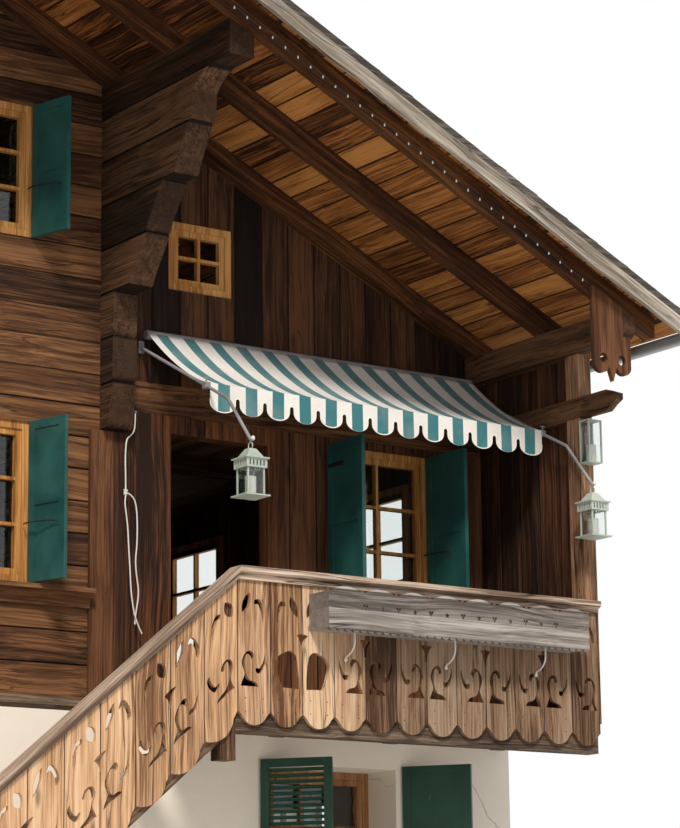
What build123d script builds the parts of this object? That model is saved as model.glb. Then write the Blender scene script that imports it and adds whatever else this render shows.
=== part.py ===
from build123d import *
import math
import os

# Alpine chalet: a rendered masonry base, a block of squared logs with a boarded gallery on each
# side, balconies with fretwork fronts, an outside stair and a wide low roof on stepped corbels.
# The origin is on the ground under the middle of the roof. X runs to the right along the gable
# front, Y into the house and Z up. All sizes are in millimetres.

# House body
HOUSE_DEPTH = 8400.0
BLOCK_WIDTH = 6600.0
GALLERY_WIDTH = 3330.0
LIVING_HEIGHT = 2340.0
LOG_THICKNESS = 200.0
LOG_COURSE = 234.0
LOG_JOINT = 9.0
BOARD_THICKNESS = 60.0
BOARD_WIDTH = 240.0
BOARD_JOINT = 7.0
SILL_HEIGHT = 110.0
SILL_WIDTH = 240.0
SILL_PROUD = 40.0
FLOOR_THICKNESS = 120.0
FLOOR_BEAM_WIDTH = 200.0
FLOOR_BEAM_HEIGHT = 240.0
SEAT_GAP = 0.3

# Masonry base
BASE_HEIGHT = 2450.0
BASE_THICKNESS = 500.0
BASE_PROUD = 160.0
BASE_SIDE_PROUD = 20.0

# Roof
ROOF_SLOPE_DEG = 25.9
EAVE_OVERHANG = 370.0
VERGE_OVERHANG = 2000.0
EAVE_WALL_HEIGHT = 2681.5
RAFTER_HEIGHT = 155.0
RAFTER_WIDTH = 130.0
RAFTER_TAIL = 200.0
RAKE_SETBACK = 160.0
OVERHANG_BAYS = 2
RAFTER_SPACING = 850.0
DECK_THICKNESS = 25.0
COVERING_THICKNESS = 55.0
COVERING_DRIP = 30.0
VERGE_BOARD_THICKNESS = 35.0
VERGE_BOARD_HEIGHT = 140.0
RIDGE_CAP_WIDTH = 170.0
RIDGE_CAP_THICKNESS = 30.0
RIDGE_PURLIN_WIDTH = 220.0
RIDGE_PURLIN_HEIGHT = 240.0
MIDDLE_PURLIN_HEIGHT = 160.0
EAVE_PURLIN_WIDTH = 120.0
EAVE_PURLIN_HEIGHT = 160.0
EAVE_PURLIN_NOSE = 70.0
RIDGE_PURLIN_SETBACK = 70.0
MIDDLE_PURLIN_SETBACK = 110.0
GUTTER_RADIUS = 70.0
GUTTER_WALL = 4.0
GUTTER_STRAP_WIDTH = 30.0
GUTTER_STRAP_THICKNESS = 6.0
GUTTER_STRAP_SPACING = 2000.0
GUTTER_STRAP_REACH = 120.0
GUTTER_STRAP_LIP = 12.0

# Stepped corbels: how far each log's nose reaches out at its foot and at its top, lowest log first
CORBEL_NOSES = ((130.0, 170.0), (175.0, 180.0), (180.0, 190.0), (420.0, 630.0), (650.0, 860.0),
                (1030.0, 1200.0), (1250.0, 1500.0))
RIDGE_CORBEL_NOSES = ((420.0, 630.0), (650.0, 860.0), (1030.0, 1200.0), (1250.0, 1500.0))
CORBEL_LOG_HEIGHT = 334.0
CORBEL_FOOT_RADIUS = 60.0
CORBEL_COVE_HEIGHT = 130.0
CORBEL_COVE_HOLLOW = 30.0

# Gallery front, doorway and posts
CORNER_PLANK_WIDTH = 290.0
CORNER_PLANK_THICKNESS = 30.0
DOOR_POST_START = 150.0
DOOR_POST_WIDTH = 250.0
DOORWAY_WIDTH = 850.0
DOORWAY_HEIGHT = 1980.0
DOOR_JAMB_WIDTH = 120.0
POST_DEPTH = 120.0
LINTEL_HEIGHT = 230.0
CEILING_BEAM_WIDTH = 120.0
CEILING_BEAM_HEIGHT = 150.0
CEILING_BEAM_COUNT = 3

# Windows: opening sizes, sill heights above the floor they serve, and joinery sections
WINDOW_WIDTH = 720.0
LOWER_WINDOW_HEIGHT = 1150.0
LOWER_WINDOW_SILL = 780.0
UPPER_WINDOW_HEIGHT = 990.0
UPPER_WINDOW_SILL = 820.0
WINDOW_SPACING = 1450.0
WINDOWS_PER_STOREY = 4
GALLERY_WINDOW_START = 1810.0
GALLERY_WINDOW_WIDTH = 930.0
GALLERY_WINDOW_HEIGHT = 1210.0
GALLERY_WINDOW_SILL = 840.0
ATTIC_WINDOW_START = 380.0
ATTIC_WINDOW_WIDTH = 560.0
ATTIC_WINDOW_HEIGHT = 530.0
ATTIC_WINDOW_SILL = 610.0
SIDE_WINDOW_COUNT = 3
BASE_WINDOW_START = 1060.0
BASE_WINDOW_WIDTH = 1210.0
BASE_WINDOW_HEIGHT = 1160.0
BASE_WINDOW_HEAD = 2160.0
BASE_WINDOW_SETBACK = 350.0
CASING_WIDTH = 55.0
CASING_DEPTH = 80.0
SASH_WIDTH = 45.0
SASH_DEPTH = 45.0
SASH_SETBACK = 12.0
BAR_WIDTH = 24.0
GLASS_THICKNESS = 6.0
WINDOW_SETBACK = 15.0

# Shutters: leaf thickness, framing and how far each pair stands open
SHUTTER_THICKNESS = 32.0
SHUTTER_STILE = 60.0
SHUTTER_RECESS = 8.0
SHUTTER_MARGIN = 25.0
BLOCK_SHUTTER_OPEN_DEG = 105.0
GALLERY_SHUTTER_OPEN_DEG = 92.0
BASE_LEFT_SHUTTER_OPEN_DEG = 50.0
BASE_RIGHT_SHUTTER_OPEN_DEG = 126.0
BASE_SHUTTER_WIDTH = 530.0
LOUVRE_PITCH = 42.0
LOUVRE_DEPTH = 29.0
LOUVRE_THICKNESS = 8.0
LOUVRE_TILT_DEG = 40.0

# Balconies
BALCONY_DEPTH = 1320.0
BALCONY_BOARD_WIDTH = 265.0
BALCONY_BOARD_THICKNESS = 30.0
BALCONY_FLOOR_THICKNESS = 40.0
BALCONY_BEAM_WIDTH = 120.0
BALCONY_BEAM_HEIGHT = 180.0
BALCONY_JOIST_WIDTH = 120.0
BALCONY_JOIST_HEIGHT = 60.0
BALCONY_JOIST_COUNT = 4
BALCONY_END_SETBACK = 40.0
RAIL_HEIGHT = 900.0
RAIL_WIDTH = 140.0
RAIL_THICKNESS = 90.0
RAIL_NECK_WIDTH = 70.0
RAIL_SLOPE_DROP = 58.0
RAIL_EDGE = 36.0
WAVE_DROP = 170.0
WAVE_RISE = 95.0
WAVE_HOLLOW = 34.0
WAVE_CUSP = 62.0
BROKEN_PAIRS = (5,)
NEWEL_SIZE = 120.0
NEWEL_DROP = 410.0
WING_POST_DEPTH = 150.0
WING_POST_WIDTH = 120.0
WING_BEAM_HEIGHT = 160.0
WING_BEAM_TOP = 2345.0
WING_BEAM_WIDTH = 60.0
WING_BEAM_REACH = 400.0
WING_BEAM_CUT = 123.0
WING_BEAM_STEP = 60.0
WING_BEAM_RISE = 40.0
WING_BEAM_DROP = 46.0
PENDANT_WIDTH = 350.0
PENDANT_SETBACK = 225.0
PENDANT_DROP = 350.0
PENDANT_POINT = 110.0
PENDANT_LOBE = 55.0
PENDANT_HOLE_RADIUS = 38.0
PENDANT_HOLE_RISE = 55.0
PENDANT_THICKNESS = 40.0

# Outside stair
STAIR_SLOPE_DEG = 40.0
STEP_RISE = 190.0
TREAD_THICKNESS = 45.0
TREAD_NOSING = 30.0
STRINGER_THICKNESS = 50.0
STRINGER_DEPTH = 260.0
STRINGER_NOSE = 52.0

# Sill cornice under the windows of the log block
CORNICE_HEIGHT = 130.0
CORNICE_REACH = 120.0
CORNICE_EDGE = 32.0
CORNICE_NECK_REACH = 90.0
CORNICE_NECK_DROP = 52.0
CORNICE_SLOPE_DROP = 91.0
CORNICE_FOOT_REACH = 36.0

# Awning
AWNING_START = 160.0
AWNING_WIDTH = 2990.0
AWNING_ROLLER_RADIUS = 35.0
AWNING_ROLLER_HEIGHT = 2685.0
AWNING_BAR_OUT = 890.0
AWNING_BAR_HEIGHT = 2145.0
AWNING_BAR_RADIUS = 14.0
AWNING_SAG = 60.0
AWNING_CLOTH = 10.0
VALANCE_HEIGHT = 210.0
VALANCE_SCALLOPS = 13
SCALLOP_DEPTH = 115.0
SCALLOP_NOTCH = 40.0
SCALLOP_ROUND = 75.0
ARM_RADIUS = 12.0
ARM_BEND_RADIUS = 72.0
ARM_PIVOT_HEIGHT = 2590.0
ARM_BEND_OUT = 1170.0
ARM_TIP_OUT = 1460.0
ARM_TIP_DROP = 350.0
ARM_BRACKET_THICKNESS = 20.0
ARM_BRACKET_HEIGHT = 90.0
ARM_BRACKET_WIDTH = 46.0

# Cord of the awning: its routes as (x, height) in one plane in front of the wall
CORD_RADIUS = 5.5
CORD_OUT = 60.0
CORD_LEFT_OUT = 72.0
CORD_GAP = 0.3
CORD_ARC_SHARE = 0.45
CORD_PEG_RADIUS = 8.0
CORD_KNOT_RADIUS = 17.0
CORD_KNOT_HEIGHT = 44.0
CORD_KNOT_CHAMFER = 4.0
CORD_ROUTE = [(3361.0, 4640.0), (3360.0, 4570.0), (3352.0, 4505.0), (3324.0, 4472.0), (3290.0, 4444.0),
              (3281.0, 4370.0), (3279.0, 4270.0), (3282.0, 4170.0), (3283.0, 4075.0)]
CORD_LEFT_ROUTE = [(3277.0, 4029.4), (3268.0, 3985.0), (3280.0, 3900.0), (3296.0, 3790.0), (3303.0, 3650.0),
                   (3315.0, 3500.0), (3322.0, 3360.0), (3338.0, 3240.0), (3364.0, 3130.0), (3415.0, 3040.0)]
CORD_RIGHT_ROUTE = [(3303.0, 4046.0), (3332.0, 4034.0), (3362.0, 3998.0), (3377.0, 3925.0), (3382.0, 3800.0),
                    (3379.0, 3675.0), (3366.0, 3565.0), (3374.0, 3465.0), (3396.0, 3350.0), (3386.0, 3260.0),
                    (3370.0, 3180.0), (3364.0, 3104.0)]

# Lanterns
LANTERN_WIDTH = 140.0
LANTERN_BODY = 185.0
LANTERN_POST = 12.0
LANTERN_PLATE = 10.0
LANTERN_WALL = 5.0
LANTERN_LID_WIDTH = 190.0
LANTERN_BASE_WIDTH = 195.0
LANTERN_COLLAR = 62.0
LANTERN_COLLAR_WIDTH = 165.0
LANTERN_SLOTS = 5
LANTERN_SLOT_WIDTH = 12.0
LANTERN_CAP = 60.0
LANTERN_CAP_TOP = 56.0
LANTERN_RING_RADIUS = 28.0
LANTERN_WIRE = 6.0
WALL_LANTERN_HEIGHT = 330.0
WALL_LANTERN_WIDTH = 130.0
WALL_LANTERN_DEPTH = 110.0
WALL_LANTERN_FOOT = 1830.0
WALL_LANTERN_SETBACK = 65.0
CANDLE_RADIUS = 38.0
CANDLE_HEIGHT = 130.0

# Flower box
FLOWER_BOX_START = 590.0
FLOWER_BOX_LENGTH = 2310.0
FLOWER_BOX_DEPTH = 235.0
FLOWER_BOX_HEIGHT = 270.0
FLOWER_BOX_TOP = 770.0
FLOWER_BOX_WALL = 22.0
FLOWER_BOX_SCALLOPS = 8
FLOWER_BOX_CUSP = 18.0
FLOWER_BOX_TEETH = 36
FLOWER_BOX_CUTS = 13
STAR_POINTS = 5
TOOTH_DEPTH_SHARE = 1 / 3
FLOWER_BOX_CUT = 44.0
FLOWER_BOX_CUT_PITCH = 141.0
FLOWER_BOX_CUT_DROP = 120.0

# Places worked out from the sizes above
FRONT = -HOUSE_DEPTH / 2
BLOCK_X = BLOCK_WIDTH / 2
GALLERY_X = BLOCK_X + GALLERY_WIDTH
EAVE_X = GALLERY_X + EAVE_OVERHANG
SLOPE = math.tan(math.radians(ROOF_SLOPE_DEG))
FLOOR_Z = BASE_HEIGHT + SILL_HEIGHT
CEILING_Z = FLOOR_Z + LIVING_HEIGHT
UPPER_FLOOR_Z = CEILING_Z + FLOOR_THICKNESS
EAVE_PURLIN_Z = FLOOR_Z + EAVE_WALL_HEIGHT
EAVE_PURLIN_X = GALLERY_X - BOARD_THICKNESS
ROOM_EDGE_X = BLOCK_X - LOG_THICKNESS


def slats(field, width):
    """Tilted slats of a louvred leaf, each let into both stiles."""
    count = int((field[1] - field[0]) / LOUVRE_PITCH)
    pitch = (field[1] - field[0]) / count
    slat = Rot(LOUVRE_TILT_DEG, 0, 0) * Box(width - 2 * SHUTTER_STILE, LOUVRE_DEPTH, LOUVRE_THICKNESS)
    return [Pos(width / 2, 0, field[0] + (index + 0.5) * pitch) * slat for index in range(count)]


def roof_line(x):
    """Height of the rafters' underside at a distance x from the ridge."""
    return EAVE_PURLIN_Z + EAVE_PURLIN_HEIGHT + (EAVE_PURLIN_X - abs(x)) * SLOPE


def deck_line(x):
    """Height of the roof boards' underside."""
    return roof_line(x) + RAFTER_HEIGHT


def out(distance):
    """Y of a place that stands this far out from the front wall's face."""
    return FRONT - distance


def timber(x, y, z):
    """Squared piece between the two ends given along each axis."""
    spans = [(min(pair), max(pair)) for pair in (x, y, z)]
    sizes = [high - low for low, high in spans]
    return Pos(*[(low + high) / 2 for low, high in spans]) * Box(*sizes)


def prism_y(outline, y):
    """Outline of (x, z) points, extruded between two y."""
    face = make_face(Polyline(*[(a, min(y), b) for a, b in outline], close=True))
    return extrude(face, amount=abs(y[1] - y[0]), dir=(0, 1, 0))


def prism_x(outline, x):
    """Outline of (y, z) points, extruded between two x."""
    face = make_face(Polyline(*[(min(x), a, b) for a, b in outline], close=True))
    return extrude(face, amount=abs(x[1] - x[0]), dir=(1, 0, 0))


def prism_z(outline, z):
    """Outline of (x, y) points, extruded between two z."""
    face = make_face(Polyline(*[(a, b, min(z)) for a, b in outline], close=True))
    return extrude(face, amount=abs(z[1] - z[0]), dir=(0, 0, 1))


def left_and_right(shapes):
    """The pieces of the right side with their mirror images on the left."""
    return shapes + [mirror(shape, about=Plane.YZ) for shape in shapes]


def front_and_back(shapes):
    """The pieces of the front with their mirror images at the back."""
    return shapes + [mirror(shape, about=Plane.XZ) for shape in shapes]


def back_only(shapes):
    return [mirror(shape, about=Plane.XZ) for shape in shapes]


def left_only(shapes):
    return [mirror(shape, about=Plane.YZ) for shape in shapes]


def write(name, shapes):
    """One file for each named piece or group of like pieces."""
    solids = [solid for shape in shapes for solid in shape.solids()]
    export_step(Compound(solids), f"parts/{name}.step")


def grooved_edge(start, end, pitch, joint):
    """Points (along, inward) of a face made of boards or logs with a V joint between them."""
    count = max(1, round((end - start) / pitch))
    step = (end - start) / count
    points = [(start, 0)]
    for index in range(1, count):
        place = start + index * step
        points += [(place - joint, 0), (place, joint), (place + joint, 0)]
    points.append((end, 0))
    return points


def log_outline(face, thickness, bottom, top):
    """Cross-section of a wall of squared logs; face is its outer side's coordinate."""
    edge = grooved_edge(bottom, top, LOG_COURSE, LOG_JOINT)
    outer = [(face + depth, height) for height, depth in edge]
    inner = [(face + thickness - depth, height) for height, depth in edge]
    return outer + inner[::-1]


def board_outline(start, end, face, thickness):
    """Plan of a wall of upright boards, as (along, across) points."""
    edge = grooved_edge(start, end, BOARD_WIDTH, BOARD_JOINT)
    outer = [(place, face + depth) for place, depth in edge]
    return outer + [(end, face + thickness), (start, face + thickness)]


def window(width, height, columns, rows, setback=WINDOW_SETBACK):
    """Casing and sashes of one window, and its glass. Outer wall face at y = 0, opening from the origin."""
    depth = (setback, setback + CASING_DEPTH)
    casing = timber((0, width), depth, (0, height))
    inner_x = (CASING_WIDTH, width - CASING_WIDTH)
    inner_z = (CASING_WIDTH, height - CASING_WIDTH)
    casing -= timber(inner_x, depth, inner_z)
    sash_y = (depth[0] + SASH_SETBACK, depth[0] + SASH_SETBACK + SASH_DEPTH)
    sash = timber(inner_x, sash_y, inner_z)
    for x in lights(inner_x, columns):
        for z in lights(inner_z, rows):
            sash -= timber(x, sash_y, z)
    glass = timber(inner_x, (sash_y[1], sash_y[1] + GLASS_THICKNESS), inner_z)
    return casing + sash, glass


def lights(span, count):
    """Clear widths between the outer sash members and the bars."""
    low, high = span[0] + SASH_WIDTH, span[1] - SASH_WIDTH
    clear = (high - low - (count - 1) * BAR_WIDTH) / count
    return [(low + i * (clear + BAR_WIDTH), low + i * (clear + BAR_WIDTH) + clear) for i in range(count)]


def shutter_leaf(width, height, kind):
    """Framed shutter leaf along +X from its hinge edge, outer face towards -Y when it is shut."""
    half = SHUTTER_THICKNESS / 2
    leaf = timber((0, width), (-half, half), (0, height))
    field_x = (SHUTTER_STILE, width - SHUTTER_STILE)
    if kind == "louvred":
        field_z = (SHUTTER_STILE, height - SHUTTER_STILE)
        leaf -= timber(field_x, (-half, half), field_z)
        return leaf + slats(field_z, width)
    low_panel = (SHUTTER_STILE, (height - SHUTTER_STILE) / 2)
    high_panel = ((height + SHUTTER_STILE) / 2, height - SHUTTER_STILE)
    for panel in (low_panel, high_panel):
        for face in (half, -half):
            floor = face - math.copysign(SHUTTER_RECESS, face)
            leaf -= timber(field_x, (face, floor), panel)
    return leaf


def hung_leaf(leaf, hinge_x, wall_y, bottom, open_deg, hand):
    """Leaf swung open on its hinge; hand is +1 on the right of a window and -1 on the left."""
    angle = math.radians(open_deg)
    hinge_out = SHUTTER_THICKNESS / 2 * abs(math.cos(angle)) + SEAT_GAP
    turned = Rot(0, 0, -(180 - open_deg)) * leaf
    placed = turned if hand > 0 else mirror(turned, about=Plane.YZ)
    return Pos(hinge_x, wall_y - hinge_out, bottom) * placed


def block_window_centres():
    """Middles of the windows on the right half of the log block."""
    return [WINDOW_SPACING * (index + 0.5) for index in range(WINDOWS_PER_STOREY // 2)]


def block_windows():
    """Places (x, z, height) of the right half's windows in the log block's front."""
    rows = ((FLOOR_Z + LOWER_WINDOW_SILL, LOWER_WINDOW_HEIGHT),
            (UPPER_FLOOR_Z + UPPER_WINDOW_SILL, UPPER_WINDOW_HEIGHT))
    return [(x - WINDOW_WIDTH / 2, z, height) for z, height in rows for x in block_window_centres()]


def cut_windows(wall, places, width, y):
    for x, z, height in places:
        wall -= timber((x, x + width), y, (z, z + height))
        wall -= timber((-x, -x - width), y, (z, z + height))
    return wall


def base_window_places():
    """Left edges along the front of the two base windows' openings, from the middle of the house."""
    return [(BLOCK_X + BASE_WINDOW_START, BASE_WINDOW_HEAD - BASE_WINDOW_HEIGHT, BASE_WINDOW_HEIGHT)]


def base_front_wall():
    face = out(BASE_PROUD)
    reach = GALLERY_X + BASE_SIDE_PROUD
    wall = timber((-reach, reach), (face, face + BASE_THICKNESS), (0, BASE_HEIGHT))
    return cut_windows(wall, base_window_places(), BASE_WINDOW_WIDTH, (face, face + BASE_THICKNESS))


def base_side_wall():
    face = GALLERY_X + BASE_SIDE_PROUD
    inner_y = FRONT - BASE_PROUD + BASE_THICKNESS
    wall = timber((face - BASE_THICKNESS, face), (inner_y, -inner_y), (0, BASE_HEIGHT))
    for y in base_side_window_centres():
        low = BASE_WINDOW_HEAD - BASE_WINDOW_HEIGHT
        span = (y - BASE_WINDOW_WIDTH / 2, y + BASE_WINDOW_WIDTH / 2)
        wall -= timber((face - BASE_THICKNESS, face), span, (low, BASE_WINDOW_HEAD))
    return wall


def base_side_window_centres():
    return [-HOUSE_DEPTH / 4, HOUSE_DEPTH / 4]


def sill_ring():
    """Weathered sill beams that lie on the masonry, halved together at the corners."""
    outer_x, outer_y = GALLERY_X + SILL_PROUD, -FRONT + SILL_PROUD
    ring = timber((-outer_x, outer_x), (-outer_y, outer_y), (BASE_HEIGHT, FLOOR_Z))
    inner_x, inner_y = outer_x - SILL_WIDTH, outer_y - SILL_WIDTH
    return ring - timber((-inner_x, inner_x), (-inner_y, inner_y), (BASE_HEIGHT, FLOOR_Z))


def living_floor():
    inner_x, inner_y = GALLERY_X + SILL_PROUD - SILL_WIDTH, -FRONT + SILL_PROUD - SILL_WIDTH
    return timber((-inner_x, inner_x), (-inner_y, inner_y), (BASE_HEIGHT, FLOOR_Z))


def floor_beams():
    """Beam under a side wall of the log block, its ends against the masonry's inner face."""
    centre = BLOCK_X - LOG_THICKNESS / 2
    span = -FRONT + BASE_PROUD - BASE_THICKNESS
    edge = FLOOR_BEAM_WIDTH / 2
    return timber((centre - edge, centre + edge), (-span, span),
                  (BASE_HEIGHT - FLOOR_BEAM_HEIGHT, BASE_HEIGHT))


def block_front_wall(bottom, top):
    """Log wall between the block's side walls, with its windows cut through."""
    outline = log_outline(FRONT, LOG_THICKNESS, bottom, top)
    wall = prism_x(outline, (-ROOM_EDGE_X, ROOM_EDGE_X))
    return cut_windows(wall, block_windows(), WINDOW_WIDTH, (FRONT, FRONT + LOG_THICKNESS))


def block_gable_wall():
    """Upper log wall, cut to the roof and notched for the ridge purlin."""
    wall = block_front_wall(UPPER_FLOOR_Z - FLOOR_THICKNESS, deck_line(0))
    under_roof = [(-ROOM_EDGE_X, CEILING_Z), (ROOM_EDGE_X, CEILING_Z), (ROOM_EDGE_X, deck_line(ROOM_EDGE_X)),
                  (0, deck_line(0)), (-ROOM_EDGE_X, deck_line(ROOM_EDGE_X))]
    wall &= prism_y(under_roof, (FRONT, FRONT + LOG_THICKNESS))
    return wall - ridge_purlin()


def block_side_wall():
    """Log wall between block and gallery, under the middle purlin, with a doorway to the gallery."""
    outline = log_outline(ROOM_EDGE_X, LOG_THICKNESS, FLOOR_Z, middle_purlin_bottom())
    wall = prism_y(outline, (FRONT, -FRONT))
    door_y, door_z = room_door_span()
    return wall - timber((ROOM_EDGE_X, BLOCK_X), door_y, door_z)


def room_door_span():
    half = DOORWAY_WIDTH / 2
    return (-half, half), (FLOOR_Z, FLOOR_Z + DOORWAY_HEIGHT)


def room_door():
    """Plank door, shut, in the log wall between gallery and living room."""
    door_y, door_z = room_door_span()
    outline = [(y, x) for x, y in board_outline(door_y[0], door_y[1], BLOCK_X - POST_DEPTH, BOARD_THICKNESS)]
    return prism_z([(x, y) for x, y in outline], door_z)


def middle_purlin_bottom():
    return roof_line(BLOCK_X) - MIDDLE_PURLIN_HEIGHT


def wall_corbel():
    return corbel(CORBEL_NOSES, middle_purlin_bottom(), (ROOM_EDGE_X, BLOCK_X))


def ridge_corbel():
    half = RIDGE_PURLIN_WIDTH / 2
    return corbel(RIDGE_CORBEL_NOSES, roof_line(half) - RIDGE_PURLIN_HEIGHT, (-half, half))


def corbel(noses, top, x):
    """Stack of log ends that step out from the wall, from the top log down."""
    logs = []
    for index, nose in enumerate(noses[::-1]):
        high = top - index * CORBEL_LOG_HEIGHT
        logs.append(corbel_log(nose, high - CORBEL_LOG_HEIGHT, high, x, index == 0))
    return logs


def corbel_log(nose, low, high, x, coved):
    """One log end with a round foot; the top one of a stack flares out in a cove under the purlin."""
    low_reach, high_reach = nose
    foot = CORBEL_FOOT_RADIUS
    bend = foot * (1 - math.sqrt(0.5))
    neck = high - CORBEL_COVE_HEIGHT
    outline = Polyline((x[0], FRONT, high), (x[0], FRONT, low), (x[0], out(low_reach - foot), low))
    outline += ThreePointArc((x[0], out(low_reach - foot), low), (x[0], out(low_reach - bend), low + bend),
                             (x[0], out(low_reach), low + foot))
    if coved:
        depth = high_reach - low_reach
        length = math.hypot(depth, CORBEL_COVE_HEIGHT)
        middle_reach = low_reach + depth / 2 - CORBEL_COVE_HOLLOW * CORBEL_COVE_HEIGHT / length
        middle_z = (neck + high) / 2 + CORBEL_COVE_HOLLOW * depth / length
        outline += Line((x[0], out(low_reach), low + foot), (x[0], out(low_reach), neck))
        outline += ThreePointArc((x[0], out(low_reach), neck), (x[0], out(middle_reach), middle_z),
                                 (x[0], out(high_reach), high))
    else:
        outline += Line((x[0], out(low_reach), low + foot), (x[0], out(high_reach), high))
    outline += Line((x[0], out(high_reach), high), (x[0], FRONT, high))
    log = extrude(make_face(outline.edges()), amount=x[1] - x[0], dir=(1, 0, 0))
    for joint in (low, high):
        for side, inward in ((x[0], LOG_JOINT), (x[1], -LOG_JOINT)):
            groove = [(side, joint + LOG_JOINT), (side + inward, joint), (side, joint - LOG_JOINT)]
            log -= prism_y(groove, (FRONT, out(high_reach)))
    return log


def purlin(x, bottom, reach):
    """Purlin along the whole roof, its top bevelled to the slope of the rafters."""
    outline = [(x[0], bottom), (x[1], bottom), (x[1], roof_line(x[1])), (x[0], roof_line(x[0]))]
    return prism_y(outline, (out(reach), -out(reach)))


def rake_face():
    """How far the outermost rafter's outer face stands out from the wall."""
    return VERGE_OVERHANG - RAKE_SETBACK


def ridge_purlin():
    half = RIDGE_PURLIN_WIDTH / 2
    bottom = roof_line(half) - RIDGE_PURLIN_HEIGHT
    outline = [(-half, bottom), (half, bottom), (half, roof_line(half)), (0, roof_line(0)),
               (-half, roof_line(half))]
    reach = rake_face() - RIDGE_PURLIN_SETBACK
    return prism_y(outline, (out(reach), -out(reach)))


def middle_purlin():
    return purlin((ROOM_EDGE_X, BLOCK_X), middle_purlin_bottom(), rake_face() - MIDDLE_PURLIN_SETBACK)


def eave_purlin_x():
    return EAVE_PURLIN_X - EAVE_PURLIN_WIDTH, EAVE_PURLIN_X


def eave_purlin():
    """Outer purlin whose ends are rounded off below, flush with the pendant boards."""
    reach = rake_face() + PENDANT_THICKNESS
    radius = EAVE_PURLIN_NOSE
    beam = purlin(eave_purlin_x(), EAVE_PURLIN_Z, reach)
    corner = timber(eave_purlin_x(), (out(reach), out(reach - radius)),
                    (EAVE_PURLIN_Z, EAVE_PURLIN_Z + radius))
    middle = Pos(sum(eave_purlin_x()) / 2, out(reach - radius), EAVE_PURLIN_Z + radius)
    corner -= middle * Rot(0, 90, 0) * Cylinder(radius, EAVE_PURLIN_WIDTH)
    return beam - corner - mirror(corner, about=Plane.XZ)


def rafter_stations():
    """Middles of the rafters along Y: the overhangs' and those between the gable walls."""
    rake = -out(rake_face()) - RAFTER_WIDTH / 2
    wall = -FRONT + RAFTER_WIDTH / 2
    outer = [wall + (rake - wall) * index / OVERHANG_BAYS for index in range(OVERHANG_BAYS + 1)]
    inner_reach = -FRONT - LOG_THICKNESS - RAFTER_WIDTH / 2
    bays = max(1, round(2 * inner_reach / RAFTER_SPACING))
    inner = [-inner_reach + 2 * inner_reach * index / bays for index in range(bays + 1)]
    return sorted([-y for y in outer] + inner + outer)


def rafters():
    tail = EAVE_X - RAFTER_TAIL
    outline = [(0, roof_line(0)), (tail, roof_line(tail)), (tail, deck_line(tail)), (0, deck_line(0))]
    half = RAFTER_WIDTH / 2
    return [prism_y(outline, (y - half, y + half)) for y in rafter_stations()]


def roof_layer(bottom, top, eave, reach):
    """One sloping layer of the right roof side, between two heights above the deck's underside."""
    outline = [(0, deck_line(0) + bottom), (eave, deck_line(eave) + bottom),
               (eave, deck_line(eave) + top), (0, deck_line(0) + top)]
    return prism_y(outline, (out(reach), -out(reach)))


def roof_boards():
    return roof_layer(0, DECK_THICKNESS, EAVE_X, VERGE_OVERHANG)


def roof_covering():
    top = DECK_THICKNESS + COVERING_THICKNESS
    return roof_layer(DECK_THICKNESS, top, EAVE_X + COVERING_DRIP, VERGE_OVERHANG + VERGE_BOARD_THICKNESS)


def verge_board():
    """Boards nailed to the ends of the roof boards on both sides of the ridge."""
    top = DECK_THICKNESS
    low = top - VERGE_BOARD_HEIGHT
    right = [(EAVE_X, deck_line(EAVE_X) + low), (EAVE_X, deck_line(EAVE_X) + top)]
    left = [(-x, z) for x, z in right[::-1]]
    outline = [(0, deck_line(0) + low)] + right + [(0, deck_line(0) + top)] + left
    return prism_y(outline, (out(VERGE_OVERHANG), out(VERGE_OVERHANG + VERGE_BOARD_THICKNESS)))


def ridge_cap():
    top = DECK_THICKNESS + COVERING_THICKNESS
    half = RIDGE_CAP_WIDTH
    inner = [(-half, deck_line(half) + top), (0, deck_line(0) + top), (half, deck_line(half) + top)]
    outer = [(x, z + RIDGE_CAP_THICKNESS) for x, z in inner[::-1]]
    reach = VERGE_OVERHANG + VERGE_BOARD_THICKNESS
    return prism_y(inner + outer, (out(reach), -out(reach)))


def gutter():
    """Half-round gutter on straps that are nailed under the roof boards."""
    centre_x = EAVE_X + GUTTER_RADIUS + SEAT_GAP
    centre_z = deck_line(EAVE_X) - GUTTER_STRAP_THICKNESS
    length = -2 * out(VERGE_OVERHANG)
    full = Circle(GUTTER_RADIUS) - Circle(GUTTER_RADIUS - GUTTER_WALL)
    half = full & Pos(0, -GUTTER_RADIUS) * Rectangle(2 * GUTTER_RADIUS, 2 * GUTTER_RADIUS)
    end = Plane((centre_x, out(VERGE_OVERHANG), centre_z), x_dir=(1, 0, 0), z_dir=(0, -1, 0))
    pieces = extrude(end * half, -length)
    count = round(length / GUTTER_STRAP_SPACING)
    for index in range(count):
        pieces += gutter_strap(out(VERGE_OVERHANG) + (index + 0.5) * length / count)
    return pieces


def gutter_strap(y):
    """Flat strap from under the roof boards out to the gutter's inner rim."""
    start, end = EAVE_X - GUTTER_STRAP_REACH, EAVE_X + GUTTER_WALL
    lip = deck_line(end) - GUTTER_STRAP_THICKNESS
    outline = [(start, deck_line(start) - GUTTER_STRAP_THICKNESS), (end, lip - GUTTER_STRAP_LIP), (end, lip),
               (EAVE_X, deck_line(EAVE_X)), (start, deck_line(start))]
    return prism_y(outline, (y - GUTTER_STRAP_WIDTH / 2, y + GUTTER_STRAP_WIDTH / 2))


def corner_plank():
    """Upright plank over the ends of the logs, below the corbel."""
    y = (FRONT, out(CORNER_PLANK_THICKNESS))
    return timber((BLOCK_X - CORNER_PLANK_WIDTH, BLOCK_X), y, (FLOOR_Z, corbel_bottom()))


def corbel_bottom():
    return middle_purlin_bottom() - len(CORBEL_NOSES) * CORBEL_LOG_HEIGHT


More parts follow.
